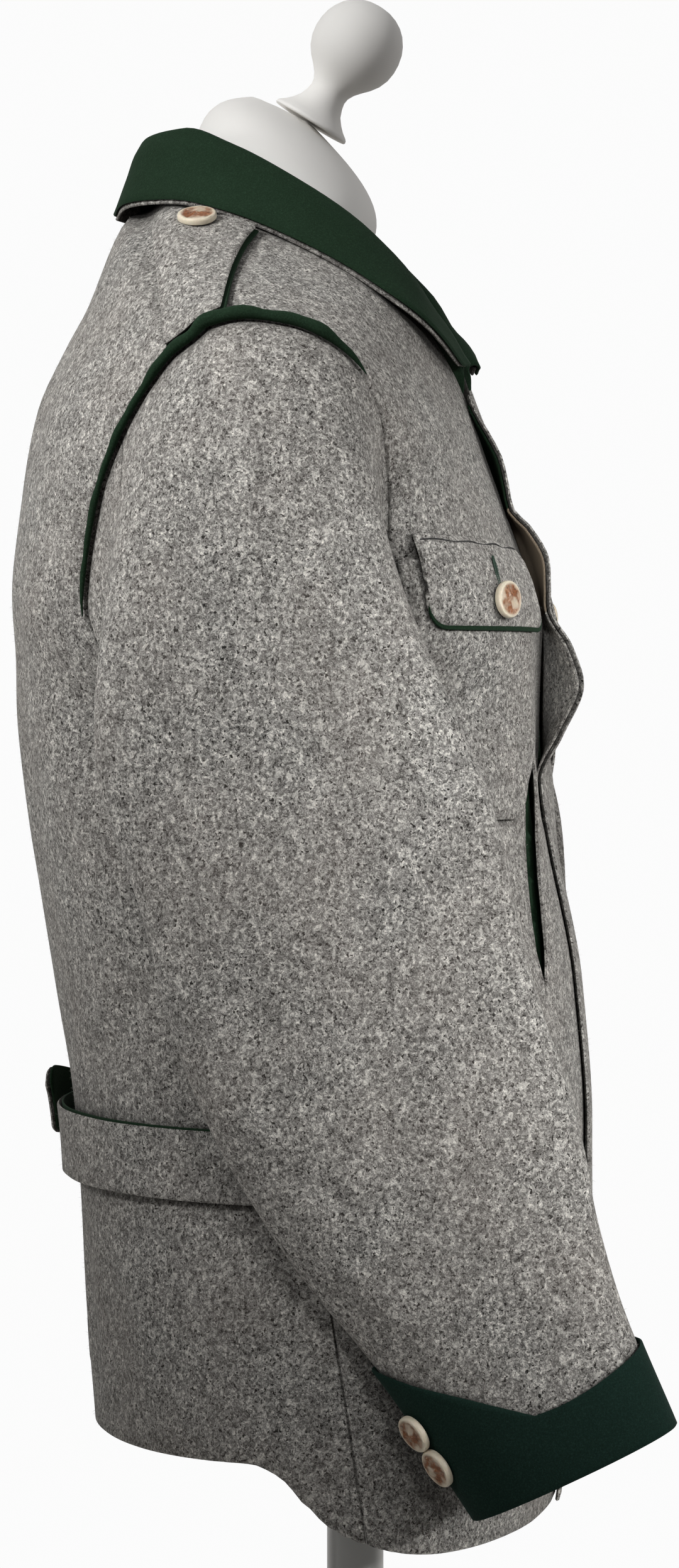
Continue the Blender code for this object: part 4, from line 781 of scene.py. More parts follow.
def tube(name, path, facings, radii, sides, finish):
    """A round cord along a path."""
    forward = unit(np.gradient(path, axis=0))
    sideways = unit(np.cross(forward, facings))
    upright = np.cross(sideways, forward)
    around = np.linspace(0, 2 * math.pi, sides, endpoint=False)[None, :, None]
    turned = np.cos(around) * sideways[:, None] + np.sin(around) * upright[:, None]
    points = (path[:, None] + radii[:, None, None] * turned).reshape(-1, 3)
    return mesh_object(name, points, ring_faces(len(path), sides), finish, 60)


def stand_for(piece, node_name):
    """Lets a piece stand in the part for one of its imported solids."""
    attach(piece, BODY)
    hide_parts(node_name)


def sheet_wall(name, node_name, outer, inner, finish, slot_name, closed=False, kept=None, full=0.45):
    """A piece of cloth between two grids of points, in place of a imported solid. `closed` joins the last
    column to the first, `kept` says which squares of the grid are cloth, and `full` how round the rim is."""
    rows, columns = outer.shape[:2]
    count = rows * columns
    i, j = np.meshgrid(np.arange(rows - 1), np.arange(columns if closed else columns - 1), indexing="ij")
    if kept is not None:
        i, j = i[kept], j[kept]
    i, j = i.ravel(), j.ravel()
    k = (j + 1) % columns
    quads = np.stack([i * columns + j, i * columns + k, (i + 1) * columns + k, (i + 1) * columns + j], axis=1)
    edges = np.concatenate([quads[:, [0, 1]], quads[:, [1, 2]], quads[:, [2, 3]], quads[:, [3, 0]]])
    owner = np.tile(np.arange(len(quads)), 4)
    rim = ~np.isin(edges[:, 0] * count + edges[:, 1], edges[:, 1] * count + edges[:, 0])
    edges, owner = edges[rim], owner[rim]
    over, under = outer.reshape(-1, 3), inner.reshape(-1, 3)
    middle = (over + under) / 2
    away = middle[edges].mean(axis=1) - middle[quads[owner]].mean(axis=1)
    for line in (unit(middle[edges[:, 1]] - middle[edges[:, 0]]), unit((over - under)[edges[:, 0]])):
        away = away - line * (away * line).sum(axis=1, keepdims=True)
    bulge = np.zeros_like(middle)
    for end in (0, 1):
        np.add.at(bulge, edges[:, end], unit(away))
    thick = np.linalg.norm(over - under, axis=1, keepdims=True)
    middle = middle + unit(bulge) * thick * full
    points = np.concatenate([over, under, middle])
    a, b = edges.T
    faces = np.concatenate([
        quads, quads[:, ::-1] + count,
        np.stack([b, a, a + 2 * count, b + 2 * count], axis=1),
        np.stack([b + 2 * count, a + 2 * count, a + count, b + count], axis=1),
    ])
    obj = mesh_object(name, points, faces, finish)
    OUTER_FACES[name] = (outer, quads)
    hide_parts(node_name)
    return obj


OUTER_FACES = {}  # outer points and squares of each cloth piece, for the nap
LEAST_AREA = 0.301  # of the box round a flat piece


def cut_size(grid, closed=False, kept=None):
    """Widest and longest run of a piece in metres, and its area in square metres."""
    across = np.linalg.norm(np.diff(grid, axis=1), axis=2)
    down = np.linalg.norm(np.diff(grid, axis=0), axis=2)
    width, tall = across.sum(axis=1).max(), down.sum(axis=0).max()
    if closed:
        width = (across.sum(axis=1) + np.linalg.norm(grid[:, 0] - grid[:, -1], axis=1)).max()
        grid = np.concatenate([grid, grid[:, :1]], axis=1)
    diagonals = grid[1:, 1:] - grid[:-1, :-1], grid[1:, :-1] - grid[:-1, 1:]
    squares = np.linalg.norm(np.cross(*diagonals), axis=2) / 2
    area = squares.sum() if kept is None else squares[kept].sum()
    return (width * MM, tall * MM), area * MM * MM


def declare_sheet(grid, kept=None):
    """Works out the flat size and area of a piece from its smooth cloth before any creases, and does nothing
    with them.
    """
    flat, area = cut_size(grid, kept=kept)
    area = min(max(area, LEAST_AREA * flat[0] * flat[1]), flat[0] * flat[1])


def make_backs():
    """Back panels, which part at the vent below the half belt."""
    fade = read(VENT_FADE, "part", SHARES)
    for side, name in SIDE_NAMES.items():
        grid, normals = (part.copy() for part in body_cut()["back", side])
        on_centre = np.abs(grid[:, 0, 0]) < 1.0
        grid[on_centre, 0, 0] = side * SEAM_GAP / 2
        normals[on_centre, 0, 0] = 0.0
        for i in np.nonzero(grid[:, 0, 2] < VENT_TOP)[0]:
            open_by = ease((VENT_TOP - grid[i, 0, 2]) / VENT_EASE)
            grid[i, :, 0] += side * VENT_PART * open_by * fade
            if side == LEFT:
                grid[i, :, 1] += VENT_BACK * open_by * fade
        round_corner(grid, VENT_CORNER[side])
        outer = creased_body(grid, normals, side)
        inner = outer - normals * cloth_mm("loden")
        piece = sheet_wall(f"jacket_back_{name}", f"back_{name}", outer, inner, loden(), "grey_loden")
        declare_sheet(grid)


def round_corner(grid, radius):
    """Rounds the lower corner of the vent."""
    last = 3 * STEPS
    for j in range(grid.shape[1]):
        inset = abs(grid[0, j, 0])
        if inset >= radius:
            continue
        column = grid[: last + 1, j].copy()
        heights = np.linspace(column[0, 2] + corner_rise(radius, inset), column[-1, 2], last + 1)
        for k in range(3):
            grid[: last + 1, j, k] = np.interp(heights, column[:, 2], column[:, k])


def lap_lift(x, z):
    """How far the left front lies out over the right one; more where it has a facing inside."""
    facing = FACING_LIFT * ease((z - FACING_FROM) / FACING_RAMP)
    return (LAP_LIFT + facing) * ease((LAP_UNDER + LAP_RAMP - x) / LAP_RAMP)


def past_centre(grid, normals, reach):
    """The columns past the centre line, from the panel's own curve turned over that line."""
    points, turned = [], []
    for step in np.linspace(reach, 0, STEPS, endpoint=False):
        row_points, row_turned = [], []
        for row, normal in zip(grid, normals):
            x = np.abs(row[:, 0])
            row_points.append([np.interp(step, x, row[:, k]) for k in range(3)])
            row_turned.append([np.interp(step, x, normal[:, k]) for k in range(3)])
        points.append(np.array(row_points) * [-1, 1, 1])
        turned.append(unit(np.array(row_turned) * [-1, 1, 1]))
    return np.stack(points, axis=1), np.stack(turned, axis=1)


def lapped(side):
    """A front's points and normals with its part past the centre. The left one is lifted over the right one,
    and its edge curls forward."""
    grid, normals = body_cut()["front", side]
    extra, turned = past_centre(grid, normals, LAP_UNDER if side == RIGHT else LAP_OVER)
    grid = np.concatenate([extra, grid], axis=1)
    normals = np.concatenate([turned, normals], axis=1)
    if side == LEFT:
        grid = grid + normals * lap_lift(grid[..., 0], grid[..., 2])[..., None]
        near_edge = np.clip((CURL_REACH - grid[..., 0]) / (CURL_REACH + LAP_OVER), 0, 1)
        grid[..., 1] -= read(FRONT_EDGE, "curl", grid[..., 2]) * near_edge**CURL_FALL
        bent = grid_normals(grid)
        normals = unit(np.where((bent * normals).sum(axis=-1, keepdims=True) < 0, -bent, bent))
    return grid, normals


def make_fronts():
    """The two fronts, each open at its slit."""
    for side, name in SIDE_NAMES.items():
        grid, normals = lapped(side)
        kept = np.ones((len(grid) - 1, grid.shape[1] - 1), bool)
        kept[NECK_PIT:, :STEPS] = False
        kept[SLIT_ROWS[0] : SLIT_ROWS[-1] + 1, STEPS + SLIT_COLUMN] = False
        outer = creased_body(grid, normals, side)
        inner = outer - normals * cloth_mm("loden")
        piece = sheet_wall(
            f"jacket_front_{name}", f"front_{name}", outer, inner, loden(), "grey_loden", kept=kept
        )
        declare_sheet(grid, kept=kept)


def make_front_facings():
    """Strips that show inside the left front's edge where the fronts gape."""
    grid, normals = lapped(LEFT)
    inside = grid - normals * (LODEN + FACING_GAP)
    z = inside[: NECK_PIT + 1, 1, 2]
    strips = (
        ("front_facing_lower", 553.0, 647.7, inner_loden(), "grey_loden"),
        ("fly_placket", 648.3, 705.7, taupe_twill(), "taupe_placket"),
        ("front_facing_upper", 706.3, 764.0, felt(), "green_felt"),
    )
    for name, low, high, finish, slot_name in strips:
        heights = np.r_[low, [h for h in z if low + 1 < h < high - 1], high]
        rows = np.interp(heights, z, np.arange(NECK_PIT + 1.0))
        floor = np.minimum(rows.astype(int), NECK_PIT - 1)
        share = (rows - floor)[:, None, None]
        points, facing = (
            (part[floor] * (1 - share) + part[floor + 1] * share)[:, : 3 * STEPS + 1]
            for part in (inside, normals)
        )
        points[:, 0] += unit(points[:, 1] - points[:, 0]) * FACING_INSET
        outer = creased_body(points, facing, LEFT)
        inner = outer - facing * cloth_mm("facing")
        piece = sheet_wall(f"jacket_{name}", name, outer, inner, finish, slot_name)
        declare_sheet(points)


def patch(panel, distances, heights, corner=0.0):
    """Points and normals of a rectangle of the cloth, its lower corners rounded."""
    grid = np.empty((len(heights), len(distances), 3))
    normals = np.empty_like(grid)
    near, far = distances[0], distances[-1]
    bottom, top = heights[0], heights[-1]
    for j, distance in enumerate(distances):
        rise = corner_rise(corner, min(abs(distance - near), abs(distance - far)))
        for i, height in enumerate(heights):
            share = (height - bottom) / (top - bottom)
            level, across = panel.place(distance, height + rise * (1 - share))
            grid[i, j] = panel.point(level, across)
            normals[i, j] = panel.normal(level, across)
    return grid, normals


def corner_steps(near, far, corner, middle):
    """Distances across a piece, closer together at its rounded corners."""
    bends = corner * (1 - np.cos(np.linspace(0, math.pi / 2, 10)))
    between = np.linspace(near + corner, far - corner, middle)[1:-1]
    return np.r_[near + bends, between, (far - bends)[::-1]]


def make_pockets():
    """Patch pockets with flaps, each flap's lower edge bound with a narrow strip of felt."""
    for side, name in SIDE_NAMES.items():
        distances = corner_steps(POCKET_NEAR, POCKET_FAR, POCKET_CORNER, 17)
        heights = finer_steps(POCKET_ROWS, STEPS)
        grid, normals = patch(PANELS["front", side], distances, heights, POCKET_CORNER)
        lift = read(POCKET_LIFT, "lift", heights)[:, None]
        lift = np.minimum(lift, read(POCKET_SIDE_LIFT, "lift", distances))
        base = creased_body(grid, normals, side) + normals * lift[..., None]
        outer = base + normals * cloth_mm("loden")
        piece = sheet_wall(
            f"patch_pocket_{name}", f"chest_pocket_{name}", outer, base, loden(), "grey_loden", full=0.6
        )
        declare_sheet(grid)
        make_flap(side, name)


def make_flap(side, name):
    """A flap that stands off over its pocket, with its felt edge, its buttonhole and its stitches."""
    distances = corner_steps(FLAP_NEAR, FLAP_FAR, FLAP_CORNER, 19)
    heights = finer_steps(FLAP_LIFT["z"], STEPS)
    grid, normals = patch(PANELS["front", side], distances, heights, FLAP_CORNER)
    lift = POCKET_STAND_OFF + LODEN + read(FLAP_LIFT, "lift", heights)
    down_to = np.array([lift[2 * STEPS], FLAP_SEWN_LIFT])
    sewn = smooth(np.array([FLAP_FOLD, FLAP_TOP]), down_to, heights)
    lift = np.where(heights > FLAP_FOLD, sewn, lift)
    base = creased_body(grid, normals, side) + normals * lift[:, None, None]
    outer = base + normals * cloth_mm("loden")
    piece = sheet_wall(
        f"pocket_flap_cloth_{name}", f"pocket_flap_{name}", outer, base, loden(), "grey_loden", full=0.55
    )
    steps = np.linspace(FLAP_EDGE + 1.0, 0.6, 4)[:, None, None]
    edge = base[0] + unit(base[0] - base[1]) * steps
    over, under = (edge + normals[:1] * out for out in (LODEN - 0.2, 0.2))
    trim = sheet_wall(
        f"flap_binding_{name}", f"flap_edge_{name}", over, under, felt(), "green_felt", full=0.3
    )
    hole = make_buttonhole(f"flap_buttonhole_{name}", side, lift)
    row = make_flap_stitching(f"flap_stitching_{name}", side, heights, lift)
    declare_sheet(grid)


def make_flap_stitching(name, side, heights, lift):
    """The sunk row of stitches that holds the flap's upper edge down; its near-black thread is also painted
    shadow, the dark line along that edge.
    """
    z = FLAP_TOP - STITCH_INSET
    distances = np.linspace(FLAP_NEAR + 2, FLAP_FAR - 2, 90)
    points, facings = patch(PANELS["front", side], distances, np.array([z, z + 1]))
    stand = np.interp(z, heights, lift) + cloth_mm("loden")
    path = creased_body(points, facings, side)[0] + facings[0] * stand
    path[:, 2] += 0.5 * np.sin(np.arange(len(path)) / 4.0)
    radii = np.full(len(path), STITCH_RADIUS)
    return tube(name, path, facings[0], radii, 6, stitch_thread_and_shadow_line())


def make_buttonhole(name, side, lift):
    """A worked buttonhole above the flap's button: a long oval of thread, whipped all round."""
    panel = PANELS["front", side]
    path, facings = [], []
    for turn in np.linspace(0, 2 * math.pi, 97)[:-1]:
        across, up = BUTTONHOLE_WIDE * math.cos(turn), BUTTONHOLE_TALL * math.sin(turn)
        level, share = panel.place(BUTTONHOLE_AT + across, BUTTONHOLE_Z + up)
        facings.append(panel.normal(level, share))
        path.append(panel.point(level, share))
    path, facings = np.array(path), np.array(facings)
    stand = float(np.interp(BUTTONHOLE_Z, [FLAP_MIDDLE, FLAP_FOLD], [lift[STEPS], lift[2 * STEPS]]))
    path = creased_body(path, facings, side) + facings * (stand + LODEN + 0.25)
    forward = unit(np.roll(path, -1, axis=0) - np.roll(path, 1, axis=0))
    sideways = np.cross(forward, facings)
    around = np.linspace(0, 2 * math.pi, 8, endpoint=False)[None, :, None]
    # Thick and thin by turns, as the thread goes over the edge and under it
    radii = 0.62 + 0.16 * np.cos(np.arange(len(path)) * math.pi)
    rings = path[:, None] + radii[:, None, None] * (
        np.cos(around) * sideways[:, None] + 0.8 * np.sin(around) * facings[:, None]
    )
    faces = ring_faces(*rings.shape[:2], closed=True)
    return mesh_object(name, rings.reshape(-1, 3), faces, buttonhole_thread(), 80)


def make_slit_facings():
    """Felt behind the hand-warmer slits."""
    distances = np.linspace(SLIT_UPPER_AT - SLIT_FELT_FORWARD, SLIT_LOWER_AT + SLIT_FELT_BACK, 13)
    heights = np.linspace(SLIT_BOTTOM - SLIT_FELT_ENDS, SLIT_TOP + SLIT_FELT_ENDS, 33)
    for side, name in SIDE_NAMES.items():
        grid, normals = patch(PANELS["front", side], distances, heights)
        base = creased_body(grid, normals, side) - normals * (LODEN + SLIT_FELT_DEPTH + FELT)
        outer = base + normals * cloth_mm("felt")
        piece = sheet_wall(f"slit_lining_{name}", f"slit_facing_{name}", outer, base, felt(), "green_felt")
        declare_sheet(grid)


def make_belt():
    """The two half belts from the side seams. The left one's end stands off over the right one."""
    ups = np.linspace(0, 1, 11)
    for side, name in SIDE_NAMES.items():
        run = finer_steps(BELT_ENDS[side] + BELT_RUN, STEPS)
        grid = np.empty((len(ups), len(run), 3))
        normals = np.empty_like(grid)
        for j, share in enumerate(run):
            panel = PANELS["back", side if share >= 0 else -side]
            for i, up in enumerate(ups):
                height = BELT_BOTTOM + (BELT_TOP - BELT_BOTTOM) * up + BELT_RISE * ease(1 - share)
                level = panel.level_at(abs(share), height)
                grid[i, j], normals[i, j] = panel.point(level, abs(share)), panel.normal(level, abs(share))
        lift = BELT_GAP + BELT_STAND_OFF * ease(1.15 - run) - BELT_SEWN_DIP * ease((run - 0.94) / 0.035)
        grid = creased_body(grid, normals, side)
        if side == LEFT:
            flare = ease(1 - run / BELT_TAB)
            lift = lift + BELT_TAB_FLARE * flare
            grid[..., 2] += BELT_TAB_RISE * flare
        base = grid + normals * lift[:, None]
        # The free end is cut round at both corners
        rise = corner_rise(BELT_CORNER, run_lengths(base[5]))
        base[..., 2] += rise[None, :] * (1 - 2 * ups[:, None])
        lined = base + normals * BELT_LINING
        lining = sheet_wall(
            f"belt_felt_{name}", f"belt_lining_{name}", lined, base, felt(), "green_felt", full=0.3
        )
        over = base + normals * (BELT_LINING + 0.3)
        over[..., 2] -= BELT_FELT_SHOWS * ease((ups[:, None] - 0.6) / 0.4)
        outer = over + normals * cloth_mm("loden")
        piece = sheet_wall(f"belt_cloth_{name}", f"half_belt_{name}", outer, over, loden(), "grey_loden")
        declare_sheet(base)
        declare_sheet(base)


# ---------------------------------------------------------------- shoulders


def shoulder_point(side, x, y):
    """Point and normal of the shoulder above a place, from whichever panel covers it."""
    best = None
    for part in ("back", "front"):
        panel = PANELS[part, side]
        rows = slice(9 * panel.ROWS, None)
        points = panel.points[rows]
        off = (points[..., 0] - side * x) ** 2 + (points[..., 1] - y) ** 2
        k = np.unravel_index(np.argmin(off), off.shape)
        if best is None or off[k] < best[0]:
            best = (off[k], points[k], panel.normals[rows][k])
    _, near, normal = best
    z = near[2] - (normal[0] * (side * x - near[0]) + normal[1] * (y - near[1])) / normal[2]
    return np.array([side * x, y, z]), normal


def armhole_x(y):
    """How far out the armhole lies at this depth, over the shoulder."""
    edge = np.vstack([PANELS[part, LEFT].points[9 * Panel.ROWS :, -1] for part in ("front", "back")])
    edge = edge[np.argsort(edge[:, 1])]
    return float(np.interp(y, edge[:, 1], edge[:, 0]))


def rest_on_shoulder(grid, side, gap):
    """Lifts a grid until its points and the lines between them clear the shoulder by the gap."""
    rows, columns = grid.shape[:2]
    pairs = [((i, j), (i, j)) for i in range(rows) for j in range(columns)]
    for down, across in ((0, 1), (1, 0), (1, 1)):
        for i in range(rows - down):
            pairs += [((i, j), (i + down, j + across)) for j in range(columns - across)]
    for _ in range(3):
        for first, second in pairs:
            middle = (grid[first] + grid[second]) / 2
            under = shoulder_point(side, abs(middle[0]), middle[1])[0]
            short = under[2] + gap - middle[2]
            if short > 0:
                grid[first][2] += short
                if first != second:
                    grid[second][2] += short


def make_straps():
    """A strap along each shoulder from the sleeve head, on a felt layer that shows as its edge."""
    for side, name in SIDE_NAMES.items():
        grid = np.empty((6, 5, 3))
        for i, along in enumerate(np.linspace(0, 1, 6)):
            middle = STRAP_MIDDLE + STRAP_MIDDLE_BACK * along
            rear = STRAP_REAR_OUTER + (STRAP_REAR_INNER - STRAP_REAR_OUTER) * along
            # The front edge runs straight up from the armhole, then swings forward to the collar
            front = STRAP_FRONT_OUTER + STRAP_FRONT_SWING * along**2.4
            for j, lane in enumerate((-1.0, -0.5, 0.0, 0.5, 1.0)):
                y = middle + lane * (rear if lane > 0 else front)
                end_y = middle - 4 + lane * (STRAP_REAR_OUTER if lane > 0 else STRAP_FRONT_OUTER)
                outer = armhole_x(end_y) - ROLL_RADIUS - 1.6
                inner = STRAP_INNER + 4.5 * (1 - lane)
                grid[i, j] = shoulder_point(side, outer + (inner - outer) * along, y)[0]
        rest_on_shoulder(grid, side, STRAP_GAP)
        grid = finer(grid, 6, 8)
        normals = grid_normals(grid)
        normals *= np.sign(normals[..., 2:])
        edge = grid.copy()
        edge[:, 0] += unit(grid[:, 0] - grid[:, 1]) * STRAP_EDGE
        edge[:, -1] += unit(grid[:, -1] - grid[:, -2]) * 0.5
        over = edge + normals * STRAP_FELT
        trim = sheet_wall(
            f"strap_felt_{name}", f"strap_edge_{name}", over, edge, felt(), "green_felt", full=0.3
        )
        base = grid + normals * STRAP_OVER_FELT
        outer = base + normals * cloth_mm("loden")
        piece = sheet_wall(
            f"strap_cloth_{name}", f"shoulder_strap_{name}", outer, base, loden(), "grey_loden"
        )
        declare_sheet(edge)
        declare_sheet(base)


# ---------------------------------------------------------------- sleeves

CAP_RINGS = 6 * STEPS
SLEEVE_RINGS = 49
SEAM_COLUMN = 7 * STEPS


def armhole_ring(side):
    """The armhole once round: from the tip by way of the front to the armpit, and up the back.
    Gives its points, the cloth's normals and the way out of the armhole."""
    ring = []
    for kind in range(2):
        halves = []
        for part in ("front", "back"):
            halves.append(body_cut()[part, side][kind][ARMPIT:, -1][::-1].copy())
        for end in (0, -1):
            halves[0][end] = (halves[0][end] + halves[1][end]) / 2
        ring.append(np.concatenate([halves[0], halves[1][::-1][1:-1]]))
    points, normals = ring[0], unit(ring[1])
    outward = unit(np.cross(np.roll(points, -1, axis=0) - np.roll(points, 1, axis=0), normals))
    return points, normals, outward * np.sign(outward[0, 0] * side)


def sleeve_ring(side, at, grow=0.0):
    """One ring of the sleeve's outer face. It starts on the outer side and goes by way of the front."""
    knots = np.arange(len(SLEEVE["x"]), dtype=float)
    value = {name: float(smooth(knots, values, at)) for name, values in SLEEVE.items()}
    centre = np.array([value["x"], value["y"], value["z"]])
    if side == LEFT:
        centre += [value["out"], value["back"], 0.0]
        value["lean"] -= value["upright"]
    lean = math.radians(value["lean"])
    across = np.array([0.0, -math.cos(lean), math.sin(lean)])
    turns = np.linspace(0, math.pi, 361)
    fullness = 2 / SLEEVE_SQUARE
    out = np.sign(np.cos(turns)) * np.abs(np.cos(turns)) ** fullness * (value["through"] + grow)
    wide = np.sin(turns) ** fullness * (value["across"] + grow)
    outwards = centre + out[:, None] * np.array([1.0, 0.0, 0.0])
    front = evenly(outwards + wide[:, None] * across, RING_HALF + 1)
    back = evenly(outwards - wide[:, None] * across, RING_HALF + 1)
    return np.concatenate([front, back[::-1][1:-1]]) * np.array([side, 1, 1])


def facing_out(grid):
    """Normals of a tube of cloth that point away from its middle."""
    found = grid_normals(grid, closed=True)
    return found if (found * (grid - grid.mean(axis=1, keepdims=True))).sum() > 0 else -found


def sleeve_cut(side):
    """Rings of the sleeve's outer face, from the armhole to the end of the cuff, and their normals."""
    ring, normals, outward = armhole_ring(side)
    start = ring + outward * 1.9
    first, second = sleeve_ring(side, 0), sleeve_ring(side, 0.5)
    turns = np.arange(len(start)) / len(start) * 2 * math.pi
    top = (1 + np.cos(turns)) / 2
    away = np.column_stack([side * (0.45 + 0.35 * top), -0.12 * np.sin(turns), -0.9 + 0.3 * top])
    away = unit(away + 0.6 * outward * (0.4 + top[:, None]))
    along = unit(second - first)
    span = np.linalg.norm(first - start, axis=1)[:, None]
    rings = []
    for t in np.arange(CAP_RINGS) / CAP_RINGS:
        rings.append(
            (1 + 2 * t) * (1 - t) ** 2 * start
            + t * (1 - t) ** 2 * away * span * 0.75
            + t * t * (3 - 2 * t) * first
            + t * t * (t - 1) * along * span * 0.9
        )
    rings += [sleeve_ring(side, at) for at in np.linspace(0, len(SLEEVE["x"]) - 1, SLEEVE_RINGS)]
    grid = np.array(rings)
    found = facing_out(grid)
    seam_side = found[0].copy()
    # The first rings turn over the armhole seam with the body's cloth
    for k in range(STEPS + STEPS // 2):
        share = max(0.0, 1 - k / (1.5 * STEPS))
        found[k] = unit(found[k] * (1 - share) + normals * share)
    return grid, found, seam_side


def cap_share(grid):
    """How far the creases may go on each ring: nothing at the armhole, all of them at the armpit's height."""
    return ease(np.arange(len(grid)) / CAP_RINGS)[:, None]


def make_sleeves():
    """Two-piece sleeves, with a seam at the front and one at the back."""
    for side, name in SIDE_NAMES.items():
        grid, normals, _ = sleeve_cut(side)
        outer = grid + normals * sleeve_creases(grid, side, cap_share(grid))[..., None]
        inner = outer - normals * cloth_mm("loden")
        for lattice in (outer, inner):
            lattice[-1] += unit(lattice[-2] - lattice[-1]) * SLEEVE_SHORT
        count = grid.shape[1]
        columns_of = {
            "top_sleeve": np.r_[np.arange(count - SEAM_COLUMN, count), np.arange(0, SEAM_COLUMN + 1)],
            "under_sleeve": np.arange(SEAM_COLUMN, count - SEAM_COLUMN + 1),
        }
        for part, columns in columns_of.items():
            faces = [outer[:, columns].copy(), inner[:, columns].copy()]
            for face in faces:
                for edge, beside in ((0, 1), (-1, -2)):
                    face[:, edge] += unit(face[:, beside] - face[:, edge]) * SEAM_GAP / 2
            piece = sheet_wall(f"jacket_{part}_{name}", f"{part}_{name}", *faces, loden(), "grey_loden")
            declare_sheet(grid[:, columns])


def make_cuffs():
    """Felt cuffs over the ends of the sleeves. Their top edges are lowest on the outer side and rise to a
    point at the back."""
    end = len(SLEEVE["x"]) - 1.0
    count = 2 * RING_HALF
    heights = read(CUFF_EDGE, "height", np.arange(count) / count)
    shares = np.linspace(0, 1, 17)
    for side, name in SIDE_NAMES.items():
        fine = np.array([sleeve_ring(side, at) for at in np.linspace(end, CUFF_FROM, 61)])
        grid = np.empty((len(shares), count, 3))
        for j in range(count):
            line = fine[:, j]
            lengths, at = run_lengths(line), heights[j] * shares
            grid[:, j] = np.column_stack([np.interp(at, lengths, line[:, k]) for k in range(3)])
        normals = facing_out(grid)
        base = grid + normals * (sleeve_creases(grid, side) + CUFF_GAP)[..., None]
        outer = base + normals * cloth_mm("felt")
        piece = sheet_wall(
            f"cuff_felt_{name}", f"cuff_{name}", outer, base, cuff_felt(), "green_felt", closed=True
        )


def make_rolls():
    """A felt roll over the shoulder part of each armhole seam, thinning down the back."""
    for side, name in SIDE_NAMES.items():
        ring, normals, _ = armhole_ring(side)
        _, _, seam_side = sleeve_cut(side)
        count = len(ring)
        run = [*range(count - 10 * STEPS, count), *range(0, 5 * STEPS + 1)]
        lengths = run_lengths(ring[run])
        radii = ROLL_RADIUS * read(ROLL_SIZE, "size", lengths / lengths[-1])
        # Pressed unevenly by hand
        radii *= 1 + 0.10 * np.sin(lengths / 7.0) + 0.07 * np.sin(lengths / 3.1 + 1)
        facing = unit(normals[run] + seam_side[run])
        cosine = np.clip((facing * normals[run]).sum(axis=1), 0.5, 1)
        path = ring[run] + facing * ((radii + 1.0) / cosine)[:, None]
        # Rounded ends
        ends = np.array([0.35, 0.7, 0.92])
        radii[:3] *= ends
        radii[-3:] *= ends[::-1]
        piece = tube(f"armhole_felt_{name}", path, facing, radii, 18, felt())
        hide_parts(f"armhole_roll_{name}")


# ---------------------------------------------------------------- collar


def neck_line(back, front):
    """The neck seam from the nape to the neck pit, as evenly spaced points."""
    line = np.vstack([back[ARMPIT + 9 * STEPS :, 0], front[NECK_PIT:, 0][::-1][1:]])
    line[-1] += unit(line[-2] - line[-1]) * 2.5
    return evenly(line, 46)


def collar_sections(side):
    """Seam, fold and leaf edge at each station from the nape to the front end."""
    back, plain = body_cut()["back", side][0], body_cut()["front", side][0]
    seam = neck_line(back, plain)
    run = np.linspace(0, 1, len(seam))
    # Over the lap the collar moves forward and up with the left front
    moved = neck_line(back, lapped(side)[0][:, STEPS:])
    sections = [moved]
    for line in ("fold", "edge"):
        points = np.column_stack([read(COLLAR, line + axis, run) for axis in "xyz"])
        points[:, 1] += (5 if side == LEFT else 0.5) * ease((run - 0.7) / 0.25)
        sections.append(points * [side, 1, 1] + (moved - seam))
    return sections


def make_collar():
    """A stand-and-fall collar of felt, with a thin under-collar of loden inside its leaf."""
    sections = {side: collar_sections(side) for side in (RIGHT, LEFT)}
    seam, fold, edge = [np.vstack([sections[RIGHT][k][::-1], sections[LEFT][k][1:]]) for k in range(3)]
    rise, fall = unit(fold - seam), unit(edge - fold)
    spread = unit(np.cross(np.gradient(fold, axis=0), rise))
    outward = fold - np.array([0.0, 25.0, 0.0])
    outward[:, 2] = 0
    spread = spread * np.sign((spread * outward).sum(axis=1))[:, None]
    start = seam + rise * 1.4 - spread * 1.1
    # The stand, the turn over the fold, and the leaf down to its edge
    grid = np.array([
        start,
        start + (fold - start) * 0.5,
        fold - rise * 5.0 - spread * 1.0,
        fold - rise * 1.5 + spread * 0.4,
        fold + spread * 3.4,
        fold + fall * 5.5 + spread * 5.2,
        fold + (edge - fold) * 0.55 + spread * 3.6,
        edge + spread * 1.2,
    ])
    grid = finer_rows(grid, 5)
    normals = grid_normals(grid)
    if (normals[10] * -spread).sum() < 0:
        normals = -normals
    half = cloth_mm("felt") / 2
    outer, inner = grid + normals * half, grid - normals * half
    piece = sheet_wall("collar_felt", "collar", outer, inner, felt(), "green_felt")
    leaf = grid[26:] - normals[26:] * (half + 0.5)
    leaf = np.concatenate([leaf, leaf[-1:] + unit(leaf[-1:] - leaf[-2:-1]) * 2.2])
    facing = np.concatenate([normals[26:], normals[-1:]])
    inner = leaf - facing * 1.6
    under = sheet_wall("collar_underside", "under_collar", leaf, inner, loden(), "grey_loden", full=0.3)
    declare_sheet(grid)
    declare_sheet(leaf)


# ---------------------------------------------------------------- buttons


def start_edit(obj, mode="FACE"):
    """Opens a mesh in edit mode with nothing selected."""
    bpy.ops.object.select_all(action="DESELECT")
    obj.select_set(True)
    bpy.context.view_layer.objects.active = obj
    bpy.ops.object.mode_set(mode="EDIT")
    bpy.ops.mesh.select_mode(type=mode)
    bpy.ops.mesh.select_all(action="DESELECT")


def select_faces(obj, wanted):
    """Selects the faces whose middle the function accepts. The object is in edit mode."""
    shape = bmesh.from_edit_mesh(obj.data)
    for face in shape.faces:
        face.select_set(bool(wanted(face.calc_center_median())))
    bmesh.update_edit_mesh(obj.data)


